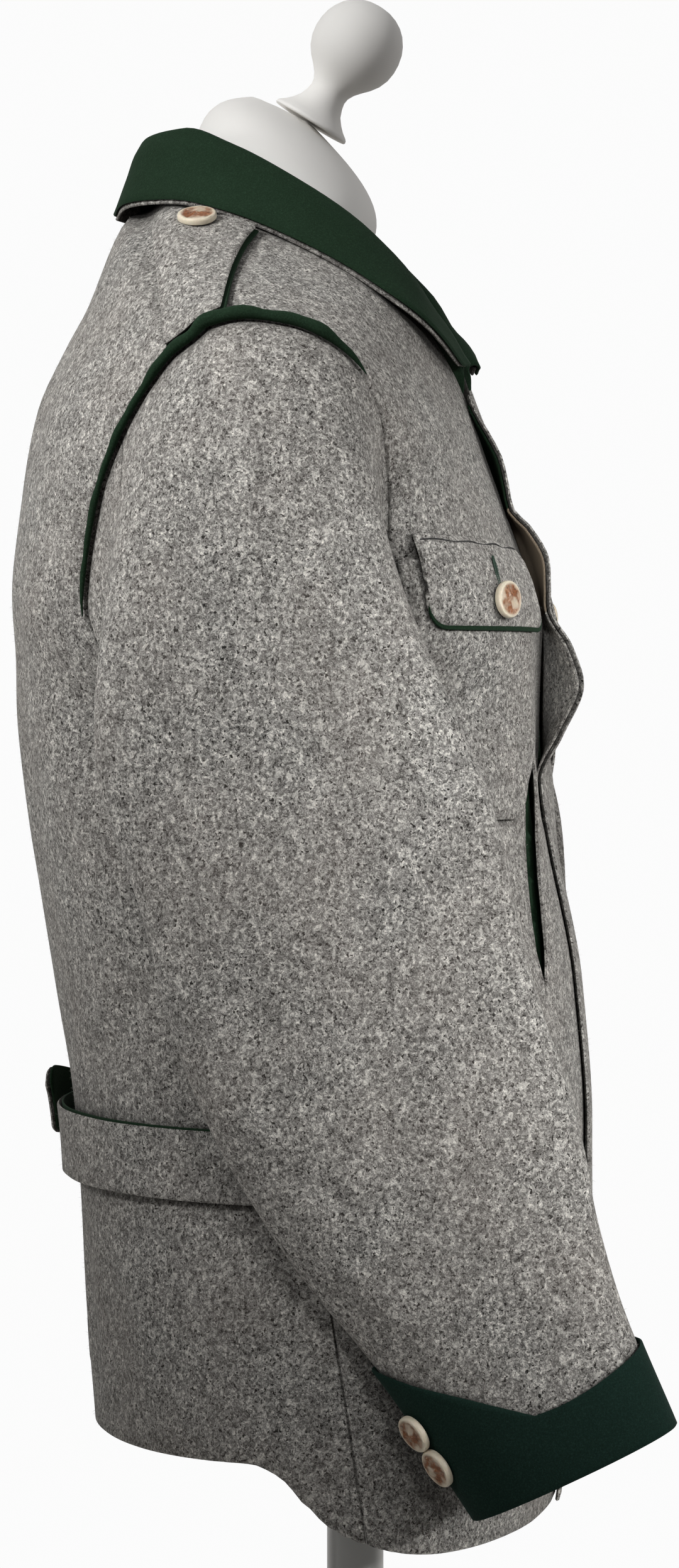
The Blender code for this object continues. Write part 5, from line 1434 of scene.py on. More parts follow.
def model_button():
    """One button on the axis, about 19 mm across: a thick disc sawn from antler, its rim rounded and its
    crown left as rough bark."""
    bpy.ops.object.select_all(action="DESELECT")
    bpy.ops.mesh.primitive_cylinder_add(vertices=56, radius=0.0096, depth=0.0030, location=(0, 0, 0.0015))
    button = bpy.context.active_object
    bpy.ops.object.transform_apply(location=True, rotation=True, scale=True)
    start_edit(button)
    select_faces(button, lambda middle: middle.z > 0.0029)
    bpy.ops.mesh.extrude_region_move(TRANSFORM_OT_translate={"value": (0, 0, 0.0009)})
    bpy.ops.transform.resize(value=(0.88, 0.88, 1), center_override=(0, 0, 0.0039))
    for step in (0.0011, 0.0012, 0.0013, 0.0013, 0.0012, 0.0010):
        bpy.ops.mesh.inset(thickness=step)
    bpy.ops.mesh.poke()
    select_faces(button, lambda middle: middle.z < 0.0001)
    bpy.ops.mesh.inset(thickness=0.0022)
    bpy.ops.mesh.select_all(action="SELECT")
    bpy.ops.object.mode_set(mode="OBJECT")
    bevel = button.modifiers.new("rounded rim", "BEVEL")
    bevel.width, bevel.segments, bevel.limit_method = 0.0008, 3, "ANGLE"
    bpy.ops.object.modifier_apply(modifier=bevel.name)
    return button


def bark_relief(button):
    """Grooves and pits of antler bark on the crown. Stores where the bark is, for the finish."""
    depth = bpy.context.scene.jacket_cloth.relief
    mesh = button.data
    points = np.empty(len(mesh.vertices) * 3)
    mesh.vertices.foreach_get("co", points)
    points = points.reshape(-1, 3)
    x, y, z = points.T
    radius = np.hypot(x, y)
    crown = ease((z - 0.0031) / 0.0006) * ease((0.0089 - radius) / 0.0022)
    waves = (
        np.sin(x * 1900 + 1.3 * np.sin(y * 700)) * 0.5 + np.sin(x * 900 + y * 500 + 0.8) * 0.35
        + np.sin(y * 1500 + 2.0 * np.sin(x * 600)) * 0.15
    )
    points[:, 2] += crown * depth * (0.55 * waves - 0.35 + 0.6 * ease(1 - radius / 0.006))
    # The disc isn't quite round, as cut antler is
    turn = np.arctan2(y, x)
    wide = 1 + 0.022 * np.sin(2 * turn + 0.6) + 0.010 * np.sin(3 * turn)
    points[:, 0] *= wide
    points[:, 1] *= wide
    mesh.vertices.foreach_set("co", points.ravel())
    patchy = ease((np.sin(x * 420 + 0.9) * np.sin(y * 380 - 0.4) + 0.62) / 0.5)
    bark = mesh.attributes.new("bark", "FLOAT", "POINT")
    bark.data.foreach_set("value", (crown * (0.35 + 0.65 * patchy)).astype(np.float32))
    mesh.update()


def button_place(name):
    """Middle of the back, the way it faces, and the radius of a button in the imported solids."""
    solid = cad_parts[name]
    points = np.array([vertex.co for vertex in solid.data.vertices])
    centre = points.mean(axis=0)
    _, _, axes = np.linalg.svd(points - centre)
    axis = axes[2]
    outward = {"strap": (0, 0, 1), "flap_": (0, -1, 0), "cuff_": (0, 1, 0)}[name[:5]]
    if axis @ np.array(outward) < 0:
        axis = -axis
    along = (points - centre) @ axis
    flat = points - centre - along[:, None] * axis
    return centre + axis * along.min(), axis, float(np.linalg.norm(flat, axis=1).max())


def make_buttons():
    """Stag-horn buttons on the straps, flaps and cuffs, each a copy turned its own way."""
    model = model_button()
    bark_relief(model)
    model.data.shade_smooth()
    model.data.set_sharp_from_angle(angle=math.radians(40))
    finish = stag_horn()
    turned = 0.4
    for kind in HORN_BUTTONS:
        for side in (RIGHT, LEFT):
            name = f"{kind}_{SIDE_NAMES[side]}"
            seat, axis, radius = button_place(name)
            if kind in CUFF_BUTTON_MOVES:
                axis = unit(axis + np.array([side * CUFF_BUTTON_TIP, 0.0, 0.0]))
                moved = CUFF_BUTTON_MOVES[kind] * np.array([side, 1, 1]) + axis * CUFF_BUTTON_SHANK
                seat = seat + moved * MM
            mesh = model.data.copy()
            mesh.materials.clear()
            mesh.materials.append(finish)
            turned += 2.1
            facing = Vector(axis).to_track_quat("Z", "Y").to_matrix().to_4x4()
            size = Matrix.Diagonal((radius / MODEL_RADIUS, radius / MODEL_RADIUS, 1, 1))
            mesh.transform(Matrix.Translation(seat) @ facing @ Matrix.Rotation(turned, 4, "Z") @ size)
            piece = bpy.data.objects.new(f"horn_{name}", mesh)
            mesh.name = piece.name
            bpy.context.scene.collection.objects.link(piece)
            stand_for(piece, name)
    bpy.data.objects.remove(model)


# ---------------------------------------------------------------- dress form and stand


def copy_of(node_name, name, finish):
    """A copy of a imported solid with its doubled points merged, to work on."""
    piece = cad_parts[node_name].copy()
    piece.data = piece.data.copy()
    piece.name = piece.data.name = name
    for key in list(piece.keys()):
        if key.startswith("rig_"):
            del piece[key]
    bpy.context.scene.collection.objects.link(piece)
    piece.parent = None
    piece.matrix_world = Matrix.Identity(4)
    piece.data.materials.clear()
    piece.data.materials.append(finish)
    start_edit(piece, "VERT")
    bpy.ops.mesh.select_all(action="SELECT")
    bpy.ops.mesh.remove_doubles(threshold=0.00001)
    bpy.ops.mesh.tris_convert_to_quads(face_threshold=math.radians(60), shape_threshold=math.radians(60))
    bpy.ops.object.mode_set(mode="OBJECT")
    stand_for(piece, node_name)
    return piece


def smooth_out(piece, levels):
    """Rounds a mesh by subdivision."""
    subdivision = piece.modifiers.new("smooth", "SUBSURF")
    subdivision.levels = subdivision.render_levels = levels
    bpy.context.view_layer.objects.active = piece
    bpy.ops.object.modifier_apply(modifier=subdivision.name)
    piece.data.shade_smooth()


def make_form():
    """The padded torso under its jersey cover, and the turned knob on its neck."""
    finish = form_jersey()
    torso = copy_of("form_torso", "dress_form", finish)
    smooth_out(torso, 2)
    knob = turn_profile("form_knob_turned", KNOB, 48)
    knob.data.materials.append(finish)
    lean = Matrix.Rotation(math.radians(KNOB_LEAN), 4, "X")
    knob.data.transform(Matrix.Translation((0, KNOB_BASE_Y * MM, KNOB_BASE_Z * MM)) @ lean)
    knob.data.shade_smooth()
    stand_for(knob, "form_knob")


def turn_profile(name, profile, sides):
    """A solid turned on the upright axis from a profile of radius and height."""
    (radius, height), *rest = zip(profile["radius"].tolist(), profile["height"].tolist())
    bpy.ops.object.select_all(action="DESELECT")
    bpy.ops.mesh.primitive_circle_add(
        vertices=sides, radius=radius * MM, fill_type="NGON", location=(0, 0, height * MM)
    )
    piece = bpy.context.active_object
    piece.name = piece.data.name = name
    bpy.ops.object.transform_apply(location=True, rotation=True, scale=True)
    start_edit(piece)
    bpy.ops.mesh.select_all(action="SELECT")
    for next_radius, next_height in rest:
        rise = (next_height - height) * MM
        bpy.ops.mesh.extrude_region_move(TRANSFORM_OT_translate={"value": (0, 0, rise)})
        share = next_radius / radius
        bpy.ops.transform.resize(value=(share, share, 1), center_override=(0, 0, next_height * MM))
        radius, height = next_radius, next_height
    bpy.ops.mesh.select_all(action="SELECT")
    bpy.ops.mesh.normals_make_consistent(inside=False)
    bpy.ops.object.mode_set(mode="OBJECT")
    return piece


def make_stand():
    """A round steel base and its pole, up into the form."""
    rows = (("stand_foot", "stand_base", FOOT, 96), ("stand_tube", "stand_pole", POLE, 48))
    for name, node_name, profile, sides in rows:
        piece = turn_profile(name, profile, sides)
        piece.data.materials.append(lacquered_steel())
        piece.data.shade_smooth()
        piece.data.set_sharp_from_angle(angle=math.radians(35))
        stand_for(piece, node_name)


# ---------------------------------------------------------------- nap

NAP_ZONES = {
    "nap_body": ("jacket_back_", "jacket_front_"),
    "nap_sleeve_right": ("jacket_top_sleeve_right", "jacket_under_sleeve_right"),
    "nap_sleeve_left": ("jacket_top_sleeve_left", "jacket_under_sleeve_left"),
    "nap_trims": ("patch_pocket_", "pocket_flap_cloth_", "belt_cloth_", "strap_cloth_"),
}


def make_nap():
    """Loose hairs that stand out of the fulled cloth, as thin closed spikes."""
    settings = bpy.context.scene.jacket_cloth
    finish = loden_hair()
    for seed, (name, starts) in enumerate(NAP_ZONES.items()):
        chance = np.random.default_rng(40 + seed)
        spikes = []
        for piece, (outer, quads) in OUTER_FACES.items():
            if piece.startswith(starts):
                spikes.append(hairs_on(outer.reshape(-1, 3), quads, settings, chance))
        points = np.concatenate(spikes)
        first = np.arange(len(points)) * 4
        faces = np.concatenate([
            np.stack([first + a, first + b, first + c], axis=1)
            for a, b, c in ((0, 2, 1), (0, 1, 3), (1, 2, 3), (2, 0, 3))
        ])
        mesh_object(name, points.reshape(-1, 3), faces, finish, 180)


def hairs_on(points, quads, settings, chance):
    """Root triangle and tip of each hair on these squares, as an array of four points a hair."""
    a, b, c, d = (points[quads[:, k]] for k in range(4))
    areas = np.linalg.norm(np.cross(c - a, d - b), axis=1) / 2
    count = int(areas.sum() / 100 * settings.nap_density)
    which = chance.choice(len(quads), count, p=areas / areas.sum())
    u, v = chance.random((2, count, 1))
    roots = (a[which] * (1 - u) + b[which] * u) * (1 - v) + (d[which] * (1 - u) + c[which] * u) * v
    normals = unit(np.cross(c[which] - a[which], d[which] - b[which]))
    middle = points.mean(axis=0)
    if (normals * (roots - middle)).sum() < 0:
        normals = -normals
    loose = unit(chance.normal(size=(count, 3)))
    flat = unit(loose - normals * (loose * normals).sum(axis=1, keepdims=True))
    side = np.cross(normals, flat)
    lean = 0.15 + 0.55 * chance.random((count, 1)) ** 2
    reach = settings.nap_length / MM * (0.45 + 0.75 * chance.random((count, 1)))
    tips = roots + reach * (normals * lean + flat * (1 - lean))
    wide = 0.045 + 0.03 * chance.random((count, 1))
    low = roots - normals * 0.15
    rear = low - flat * wide * 0.6
    return np.stack([low + flat * wide, rear + side * wide, rear - side * wide, tips], axis=1)


# ---------------------------------------------------------------- finishes


def cloth_mm(name):
    """One of the cloth thicknesses in the settings, in millimetres."""
    return getattr(bpy.context.scene.jacket_cloth, name) / MM


def hue(name):
    """One of the colours in the settings."""
    return tuple(getattr(bpy.context.scene.jacket_colours, name))


def times(shade, share):
    """A colour made darker or lighter."""
    return tuple(value * share for value in shade)


def node(tree, kind, inputs=(), **attributes):
    """Adds a shader node. `inputs` pairs each socket's name with a value, or with another node's output."""
    made = tree.nodes.new(kind)
    for name, value in attributes.items():
        setattr(made, name, value)
    for socket, value in dict(inputs).items():
        if isinstance(value, bpy.types.NodeSocket):
            tree.links.new(value, made.inputs[socket])
        elif isinstance(value, tuple) and len(value) == 3 and made.inputs[socket].type == "RGBA":
            made.inputs[socket].default_value = (*value, 1.0)
        else:
            made.inputs[socket].default_value = value
    return made


def new_finish(name, rough, gloss=0.5):
    """A material with its shader and Object coordinates."""
    finish = bpy.data.materials.new(name)
    finish.use_nodes = True
    tree = finish.node_tree
    shader = tree.nodes["Principled BSDF"]
    shader.inputs["Roughness"].default_value = rough
    shader.inputs["Specular IOR Level"].default_value = gloss
    place = node(tree, "ShaderNodeTexCoord").outputs["Object"]
    return finish, tree, shader, place


def paint(shader, shade):
    """Colours a shader with a node's output."""
    shader.id_data.links.new(shade, shader.inputs["Base Color"])


def noise(tree, place, scale, detail=2.0, rough=0.5, twist=0.0):
    """Noise with features about 1/scale of a metre across."""
    made = node(
        tree, "ShaderNodeTexNoise",
        {"Vector": place, "Scale": scale, "Detail": detail, "Roughness": rough, "Distortion": twist},
    )
    return made.outputs["Fac"]


def ramp(tree, value, *stops):
    """A colour ramp over a value; each stop is a place and a linear colour."""
    made = node(tree, "ShaderNodeValToRGB", {"Fac": value})
    steps = made.color_ramp.elements
    while len(steps) < len(stops):
        steps.new(0.5)
    for step, (at, shade) in zip(steps, stops):
        step.position, step.color = at, (*shade, 1.0)
    return made.outputs["Color"]


def spread_to(tree, value, low, high, start=0.3, end=0.7):
    """Maps noise, which mostly lies between `start` and `end`, to this range."""
    return node(
        tree, "ShaderNodeMapRange",
        {"Value": value, "From Min": start, "From Max": end, "To Min": low, "To Max": high},
    ).outputs["Result"]


def mixed(tree, share, first, second, kind="MIX"):
    """Two colours mixed by a share; each may be a value or a node's output."""
    made = node(tree, "ShaderNodeMix", data_type="RGBA", blend_type=kind)
    for socket, value in ((made.inputs[0], share), (made.inputs[6], first), (made.inputs[7], second)):
        if isinstance(value, bpy.types.NodeSocket):
            tree.links.new(value, socket)
        else:
            socket.default_value = (*value, 1.0) if isinstance(value, tuple) else value
    return made.outputs[2]


def bump(tree, shader, height, distance, strength=1.0, under=None):
    """Relief of the given depth in metres, on top of another relief if there is one."""
    inputs = {"Height": height, "Distance": distance, "Strength": strength}
    if under is not None:
        inputs["Normal"] = under
    made = node(tree, "ShaderNodeBump", inputs).outputs["Normal"]
    tree.links.new(made, shader.inputs["Normal"])
    return made


def sheen(shader, weight, rough, tint):
    """Soft light at grazing angles, as from the fine hairs of wool."""
    shader.inputs["Sheen Weight"].default_value = weight
    shader.inputs["Sheen Roughness"].default_value = rough
    shader.inputs["Sheen Tint"].default_value = (*tint, 1.0)


def finish_once(make):
    """Each finish is made the first time it is asked for."""

    def ask():
        """The finish, made already or now."""
        if make.__name__ not in FINISHES:
            FINISHES[make.__name__] = make()
        return FINISHES[make.__name__]

    return ask


FINISHES = {}


def loden_finish(name, hollow_tone):
    """Fulled melange wool: black-brown and cream hairs on a grey ground, matt, with a soft felted surface.
    In creases, recesses and wherever pieces lie near each other, painted shade from ambient occlusion takes
    the colour down to the given share of itself; a share above 1 paints light there instead."""
    finish, tree, shader, place = new_finish(name, 0.95, 0.12)
    dark, mid, light = hue("loden_dark"), hue("loden_mid"), hue("loden_light")
    # Hairs of the three wools, tangled, about a millimetre across
    hairs = noise(tree, place, 760, 4.0, 0.7, 1.0)
    ground = ramp(tree, hairs, (0.40, dark), (0.46, mid), (0.53, mid), (0.60, light))
    # The yarns lie in soft clumps, which the eye reads as flecks from a step away
    clumps = noise(tree, place, 330, 4.0, 0.7, 0.8)
    clumps = ramp(tree, clumps, (0.40, dark), (0.49, mid), (0.53, mid), (0.60, light))
    flecked = mixed(tree, 0.5, ground, clumps)
    # Single black-brown hairs lie across them
    single = noise(tree, place, 620, 2.0, 0.5, 0.6)
    single = ramp(tree, single, (0.34, (1.0, 1.0, 1.0)), (0.40, (0.0, 0.0, 0.0)))
    flecked = mixed(tree, single, flecked, times(dark, 0.6))
    broad = spread_to(tree, noise(tree, place, 17, 2.0), 0.0, 0.2)
    warm = mixed(tree, broad, flecked, hue("loden_warm"))
    # Painted shade in creases, recesses and between pieces, from ambient occlusion; for the inner cloth,
    # whose share is above 1, it is painted light that brightens those places
    close = node(tree, "ShaderNodeAmbientOcclusion", {"Distance": 0.11}, samples=6).outputs["AO"]
    close = spread_to(tree, close, hollow_tone, 1.05, 0.1, 0.95)
    uneven = spread_to(tree, noise(tree, place, 95, 3.0, 0.6), 0.80, 1.24)
    value = node(tree, "ShaderNodeMath", {0: uneven, 1: close}, operation="MULTIPLY").outputs[0]
    grey = node(tree, "ShaderNodeCombineColor", {"Red": value, "Green": value, "Blue": value})
    paint(shader, mixed(tree, 1.0, warm, grey.outputs["Color"], "MULTIPLY"))
    sheen(shader, 0.15, 0.55, linear("#d8d5cf"))
    felted = bump(tree, shader, noise(tree, place, 420, 2.0, 0.55), 0.0006, 0.55)
    bump(tree, shader, noise(tree, place, 1400, 2.0, 0.6), 0.0004, 0.55, felted)
    return finish


@finish_once
def loden():
    """The jacket's cloth, with painted shade in its creases and recesses."""
    return loden_finish("grey loden, fulled melange wool", 0.2)


@finish_once
def inner_loden():
    """The same cloth inside the front edge, with painted light that brightens it where it lies in shade in
    the gape.
    """
    # The share 1.3 paints light into the shaded hollows of the facing
    return loden_finish("grey loden, inner side kept clean", 1.3)


@finish_once
def loden_hair():
    """Loose hairs of the loden: cream and grey, a little glossier than the cloth."""
    finish, tree, shader, place = new_finish("loose loden hairs", 0.75)
    paint(shader, ramp(tree, noise(tree, place, 260), (0.40, hue("loden_mid")), (0.60, hue("loden_light"))))
    return finish


def felt_finish(name, shade):
    """Pressed wool felt: matt, one colour with faint lighter hairs, slightly pitted."""
    finish, tree, shader, place = new_finish(name, 0.92, 0.15)
    deep, pale = times(shade, 0.55), tuple(min(1.0, value * 1.9 + 0.006) for value in shade)
    fine = ramp(tree, noise(tree, place, 1100, 3.0, 0.65, 0.6), (0.30, deep), (0.5, shade), (0.75, pale))
    broad = mixed(tree, spread_to(tree, noise(tree, place, 60), 0.0, 0.3), shade, deep)
    paint(shader, mixed(tree, 0.6, broad, fine))
    sheen(shader, 0.10, 0.5, tuple(min(1.0, value * 6 + 0.08) for value in shade))
    bump(tree, shader, noise(tree, place, 800, 3.0, 0.6), 0.0004, 0.5)
    return finish


@finish_once
def felt():
    """The felt of the trims."""
    return felt_finish("bottle green wool felt", hue("felt"))


@finish_once
def cuff_felt():
    """The darker felt of the cuffs."""
    return felt_finish("dark green cuff felt", hue("cuff"))


@finish_once
def taupe_twill():
    """Thin twill: a smooth brownish cloth with a fine diagonal rib."""
    finish, tree, shader, place = new_finish("taupe cotton twill", 0.7)
    rib = node(
        tree, "ShaderNodeTexWave",
        {"Vector": place, "Scale": 260.0, "Distortion": 0.6, "Detail": 1.0}, bands_direction="DIAGONAL",
    ).outputs["Fac"]
    base = hue("taupe")
    paint(shader, ramp(tree, rib, (0.0, times(base, 0.8)), (1.0, base)))
    bump(tree, shader, rib, 0.00015, 0.5)
    return finish


@finish_once
def stitch_thread_and_shadow_line():
    """Sewing thread, matt and near black: partly the thread's own colour, partly painted shadow for the dark
    line at the flap's sewn edge.
    """
    finish, tree, shader, place = new_finish("dark grey sewing thread", 0.9)
    # Near black so the row reads as the shadow line at the flap's sewn edge: painted shadow on top of the
    # thread's own dark grey
    share = spread_to(tree, noise(tree, place, 900), 0.0, 1.0)
    paint(shader, mixed(tree, share, times(hue("loden_dark"), 0.45), (0.05, 0.05, 0.05)))
    return finish


@finish_once
def buttonhole_thread():
    """Green buttonhole twist: tight thread with a slight gloss and the marks of its turns."""
    finish, tree, shader, place = new_finish("green buttonhole twist", 0.55)
    turns = noise(tree, place, 2400, 1.0)
    paint(shader, ramp(tree, turns, (0.3, times(hue("thread"), 0.5)), (0.6, hue("thread"))))
    bump(tree, shader, turns, 0.0002, 0.6)
    return finish


@finish_once
def stag_horn():
    """Polished antler: cream bone at the sawn rim, brown bark on the crown with pale wear, a little gloss."""
    finish, tree, shader, place = new_finish("stag horn, cut and polished", 0.32)
    cream, brown = hue("horn_cream"), hue("horn_brown")
    marks = noise(tree, place, 420, 4.0, 0.65, 1.5)
    wood = ramp(
        tree, marks, (0.28, times(brown, 0.18)), (0.45, brown), (0.62, times(brown, 1.5)), (0.75, cream)
    )
    cloudy = spread_to(tree, noise(tree, place, 700, 3.0), 0.0, 0.35)
    bone = mixed(tree, cloudy, cream, times(cream, 0.7))
    bark = node(tree, "ShaderNodeAttribute", attribute_name="bark").outputs["Fac"]
    worn = spread_to(tree, noise(tree, place, 260, 3.0), 0.6, 1.3)
    share = node(tree, "ShaderNodeMath", {0: bark, 1: worn}, operation="MULTIPLY", use_clamp=True).outputs[0]
    paint(shader, mixed(tree, share, bone, wood))
    shader.inputs["Subsurface Weight"].default_value = 0.06
    shader.inputs["Subsurface Scale"].default_value = 0.002
    bump(tree, shader, marks, 0.0003, 0.5)
    return finish


@finish_once
def form_jersey():
    """Off-white cotton jersey stretched over the form: matt, with very fine knit rows."""
    finish, tree, shader, place = new_finish("off-white cotton jersey", 0.85)
    shade = hue("form")
    rows = node(
        tree, "ShaderNodeTexWave", {"Vector": place, "Scale": 285.0, "Distortion": 0.4, "Detail": 1.0},
        bands_direction="Z",
    ).outputs["Fac"]
    cloudy = spread_to(tree, noise(tree, place, 40), 0.0, 0.15)
    paint(shader, mixed(tree, cloudy, shade, times(shade, 0.86)))
    sheen(shader, 0.15, 0.5, shade)
    bump(tree, shader, rows, 0.00006, 0.2)
    return finish


@finish_once
def lacquered_steel():
    """Satin pale lacquer on steel: even, with a soft highlight."""
    finish, tree, shader, place = new_finish("satin lacquered steel", 0.35)
    shader.inputs["Base Color"].default_value = (*hue("stand"), 1.0)
    shader.inputs["Metallic"].default_value = 0.4
    bump(tree, shader, noise(tree, place, 900, 2.0), 0.00004, 0.3)
    return finish


@finish_once
def studio_floor():
    """Pale matt floor."""
    finish, tree, shader, place = new_finish("pale studio floor", 0.8)
    cloudy = spread_to(tree, noise(tree, place, 6), 0.0, 0.2)
    paint(shader, mixed(tree, cloudy, hue("floor"), times(hue("floor"), 0.95)))
    return finish


# ---------------------------------------------------------------- studio


def aim(obj, target):
    """Turns a camera or light to look at a place."""
    obj.rotation_mode = "QUATERNION"
    obj.rotation_quaternion = (Vector(target) - obj.location).to_track_quat("-Z", "Y")


AIM_ASIDE = 0.00893  # how far beside the stand's axis the camera looks, in metres

# Narrow soft lights: name, place, what it looks at, width, spread in degrees, power. They light the back, the
# sleeve and the chest from three sides and leave the skirt below the belt in shadow.
LIGHTS = (
    ("key", (-1.7, 1.3, 1.9), (-0.2, 0.0, 0.82), 0.6, 21, 1.20),
    ("rear", (-1.0, 2.2, 0.9), (-0.1, 0.15, 0.68), 0.5, 20, 0.22),
    ("forearm", (-2.0, -0.9, 1.0), (-0.24, -0.13, 0.40), 0.25, 11, 0.065),
    ("chest", (-1.4, -1.8, 1.3), (-0.1, -0.15, 0.76), 0.6, 26, 0.20),
    ("front", (-0.9, -2.05, 1.15), (-0.2, -0.15, 0.42), 0.5, 22, 0.68),
    ("placket", (-2.2, -0.5, 0.85), (-0.03, -0.115, 0.675), 0.12, 9, 0.075),
)


def area_light(name, place, target, size, spread, power):
    """A square soft light with a narrow beam."""
    lamp = bpy.data.lights.new(name, "AREA")
    lamp.size, lamp.energy = size, power
    lamp.spread = math.radians(spread)
    obj = bpy.data.objects.new(name, lamp)
    obj.location = place
    bpy.context.scene.collection.objects.link(obj)
    aim(obj, target)


def make_studio():
    """Camera level with the jacket's middle, narrow soft lights, a window on the left, and a pale room."""
    settings = bpy.context.scene.jacket_studio
    scene = bpy.context.scene
    turn = settings.turn
    toward = Vector((math.cos(turn), math.sin(turn), 0))
    aside = Vector((-math.sin(turn), math.cos(turn), 0))
    lens = bpy.data.cameras.new("camera")
    lens.lens, lens.sensor_width = settings.lens, 36
    lens.clip_start, lens.clip_end = 0.05, 30
    camera = bpy.data.objects.new("camera", lens)
    camera.location = -toward * settings.distance + Vector((0, 0, settings.height))
    scene.collection.objects.link(camera)
    scene.camera = camera
    aim(camera, camera.location + toward * settings.distance + aside * AIM_ASIDE)

    world = bpy.data.worlds.new("room")
    scene.world = world
    world.use_nodes = True
    tree = world.node_tree
    direction = node(tree, "ShaderNodeTexCoord").outputs["Generated"]
    axes = node(tree, "ShaderNodeSeparateXYZ", {"Vector": direction}).outputs
    seen = node(tree, "ShaderNodeLightPath").outputs["Is Camera Ray"]
    # A white wall behind; round the jacket a dim room, warmer in its lower half
    room = ramp(
        tree, spread_to(tree, axes["Z"], 0, 1, -1.0, 1.0), (0.0, (0.06, 0.048, 0.040)),
        (0.44, (0.040, 0.036, 0.034)), (0.62, (0.12, 0.12, 0.12)), (0.82, (0.26, 0.26, 0.265)),
    )
    # A window on the left
    room = mixed(tree, spread_to(tree, axes["X"], 0, 1, 0.05, 0.9), room, (0.62, 0.61, 0.60))
    tree.links.new(mixed(tree, seen, room, (0.97, 0.97, 0.97)), tree.nodes["Background"].inputs["Color"])
    tree.nodes["Background"].inputs["Strength"].default_value = 1.0

    for name, place, target, size, spread, power in LIGHTS:
        area_light(name, place, target, size, spread, power * settings.light)

    bpy.ops.object.select_all(action="DESELECT")
    bpy.ops.mesh.primitive_circle_add(
        vertices=96, radius=settings.floor_radius, fill_type="NGON", location=(0, 0, 0)
    )
    floor = bpy.context.active_object
    floor.name = "studio_floor"
    floor.data.materials.append(studio_floor())
    scene.view_settings.view_transform = "Standard"


# ---------------------------------------------------------------- add-on


class MakeBacks(bpy.types.Operator):
    """Makes the two back panels with the vent between them"""

    bl_idname = "jacket.backs"
    bl_label = "Back panels"

    def execute(self, context):
        make_backs()
        return {"FINISHED"}


class MakeFronts(bpy.types.Operator):
    """Makes the two fronts, the left one lapped over the right one, each with its slit"""

    bl_idname = "jacket.fronts"
    bl_label = "Fronts"

    def execute(self, context):
        make_fronts()
        return {"FINISHED"}


class MakeFacings(bpy.types.Operator):
    """Makes the strips inside the front edge and the felt behind the slits"""

    bl_idname = "jacket.facings"
    bl_label = "Facings"

    def execute(self, context):
        make_front_facings()
        make_slit_facings()
        return {"FINISHED"}


class MakePockets(bpy.types.Operator):
    """Makes the chest pockets, their flaps with felt edges, and the buttonholes"""

    bl_idname = "jacket.pockets"
    bl_label = "Chest pockets"

    def execute(self, context):
        make_pockets()
        return {"FINISHED"}


class MakeBelt(bpy.types.Operator):
    """Makes the half belt and its felt lining"""

    bl_idname = "jacket.belt"
    bl_label = "Half belt"

    def execute(self, context):
        make_belt()
        return {"FINISHED"}


class MakeStraps(bpy.types.Operator):
    """Makes the shoulder straps on their felt edges"""

    bl_idname = "jacket.straps"
    bl_label = "Shoulder straps"

    def execute(self, context):
        make_straps()
        return {"FINISHED"}


class MakeSleeves(bpy.types.Operator):
    """Makes the two-piece sleeves"""

    bl_idname = "jacket.sleeves"
    bl_label = "Sleeves"

    def execute(self, context):
        make_sleeves()
        return {"FINISHED"}


class MakeCuffs(bpy.types.Operator):
    """Makes the felt cuffs"""

    bl_idname = "jacket.cuffs"
    bl_label = "Cuffs"

    def execute(self, context):
        make_cuffs()
        return {"FINISHED"}


class MakeRolls(bpy.types.Operator):
    """Makes the felt rolls on the armhole seams"""

    bl_idname = "jacket.rolls"
    bl_label = "Armhole rolls"

    def execute(self, context):
        make_rolls()
        return {"FINISHED"}


class MakeCollar(bpy.types.Operator):
    """Makes the collar and its under-collar"""

    bl_idname = "jacket.collar"
    bl_label = "Collar"

    def execute(self, context):
        make_collar()
        return {"FINISHED"}


class MakeButtons(bpy.types.Operator):
    """Makes the stag-horn buttons"""

    bl_idname = "jacket.buttons"
    bl_label = "Buttons"

    def execute(self, context):
        make_buttons()
        return {"FINISHED"}


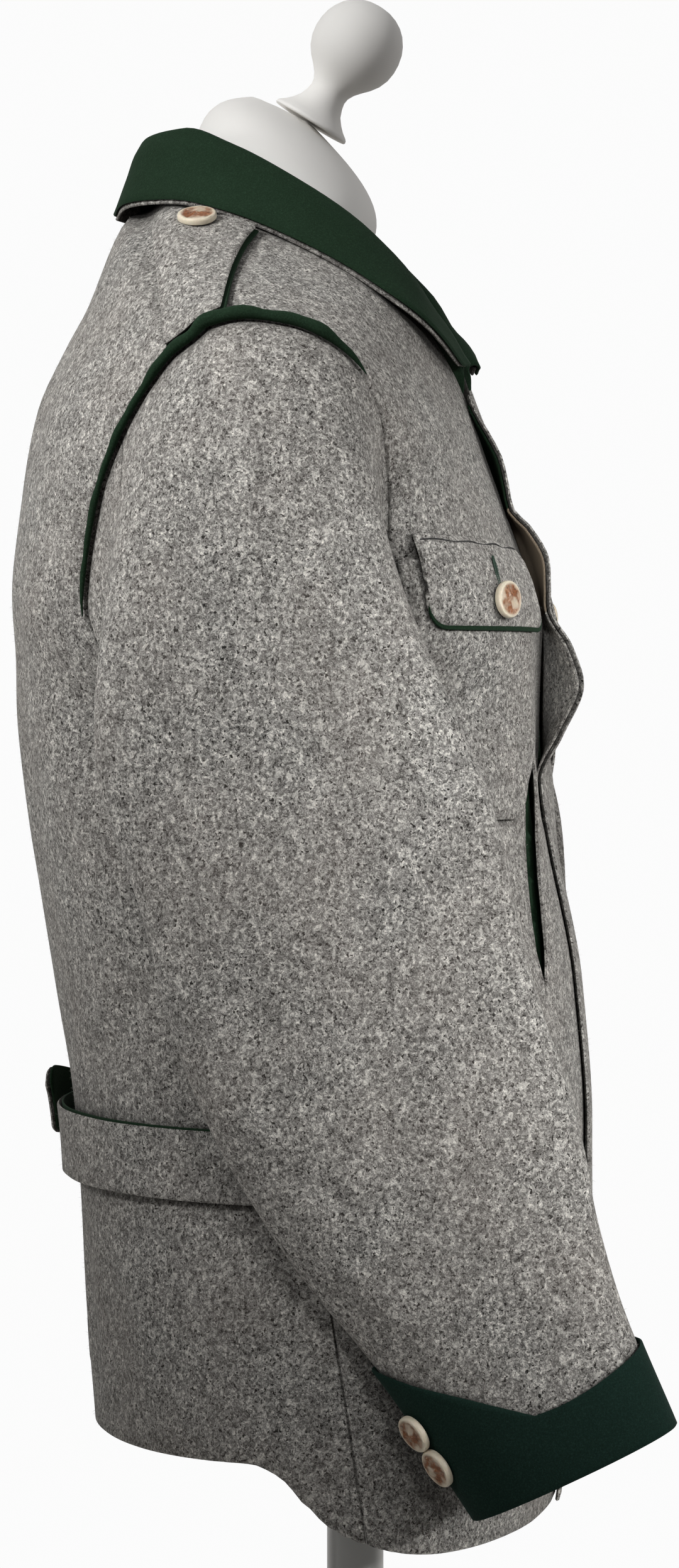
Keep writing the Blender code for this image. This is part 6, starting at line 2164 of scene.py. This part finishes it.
class MakeForm(bpy.types.Operator):
    """Makes the dress form and its knob"""

    bl_idname = "jacket.form"
    bl_label = "Dress form"

    def execute(self, context):
        make_form()
        return {"FINISHED"}


class MakeStand(bpy.types.Operator):
    """Makes the stand under the form"""

    bl_idname = "jacket.stand"
    bl_label = "Stand"

    def execute(self, context):
        make_stand()
        return {"FINISHED"}


class MakeNap(bpy.types.Operator):
    """Makes the loose hairs of the loden. It runs after the cloth pieces"""

    bl_idname = "jacket.nap"
    bl_label = "Nap"

    def execute(self, context):
        make_nap()
        return {"FINISHED"}


class MakeStudio(bpy.types.Operator):
    """Makes the camera, the lights, the room and the floor"""

    bl_idname = "jacket.studio"
    bl_label = "Studio"

    def execute(self, context):
        make_studio()
        return {"FINISHED"}


OPERATORS = (
    MakeForm, MakeStand, MakeBacks, MakeFronts, MakeFacings, MakePockets, MakeBelt, MakeSleeves, MakeCuffs,
    MakeRolls, MakeCollar, MakeStraps, MakeButtons, MakeNap, MakeStudio,
)
SETTINGS = {
    "jacket_cloth": JacketCloth, "jacket_colours": JacketColours, "jacket_studio": JacketStudio,
}


class JacketPanel(bpy.types.Panel):
    """Lists the jacket's settings and the steps that make it"""

    bl_idname = "VIEW3D_PT_jacket"
    bl_label = "Loden jacket"
    bl_space_type = "VIEW_3D"
    bl_region_type = "UI"
    bl_category = "Jacket"

    def draw(self, context):
        for name, group in SETTINGS.items():
            box = self.layout.box()
            for setting in group.__annotations__:
                box.prop(getattr(context.scene, name), setting)
        for operator in OPERATORS:
            self.layout.operator(operator.bl_idname)


def register():
    for name, group in SETTINGS.items():
        bpy.utils.register_class(group)
        setattr(bpy.types.Scene, name, bpy.props.PointerProperty(type=group))
    for made in (*OPERATORS, JacketPanel):
        bpy.utils.register_class(made)


def unregister():
    for made in (JacketPanel, *reversed(OPERATORS)):
        bpy.utils.unregister_class(made)
    for name, group in SETTINGS.items():
        delattr(bpy.types.Scene, name)
        bpy.utils.unregister_class(group)


def main():
    register()
    for operator in OPERATORS:
        area, step = operator.bl_idname.split(".")
        getattr(getattr(bpy.ops, area), step)()


if __name__ == "__main__":
    main()
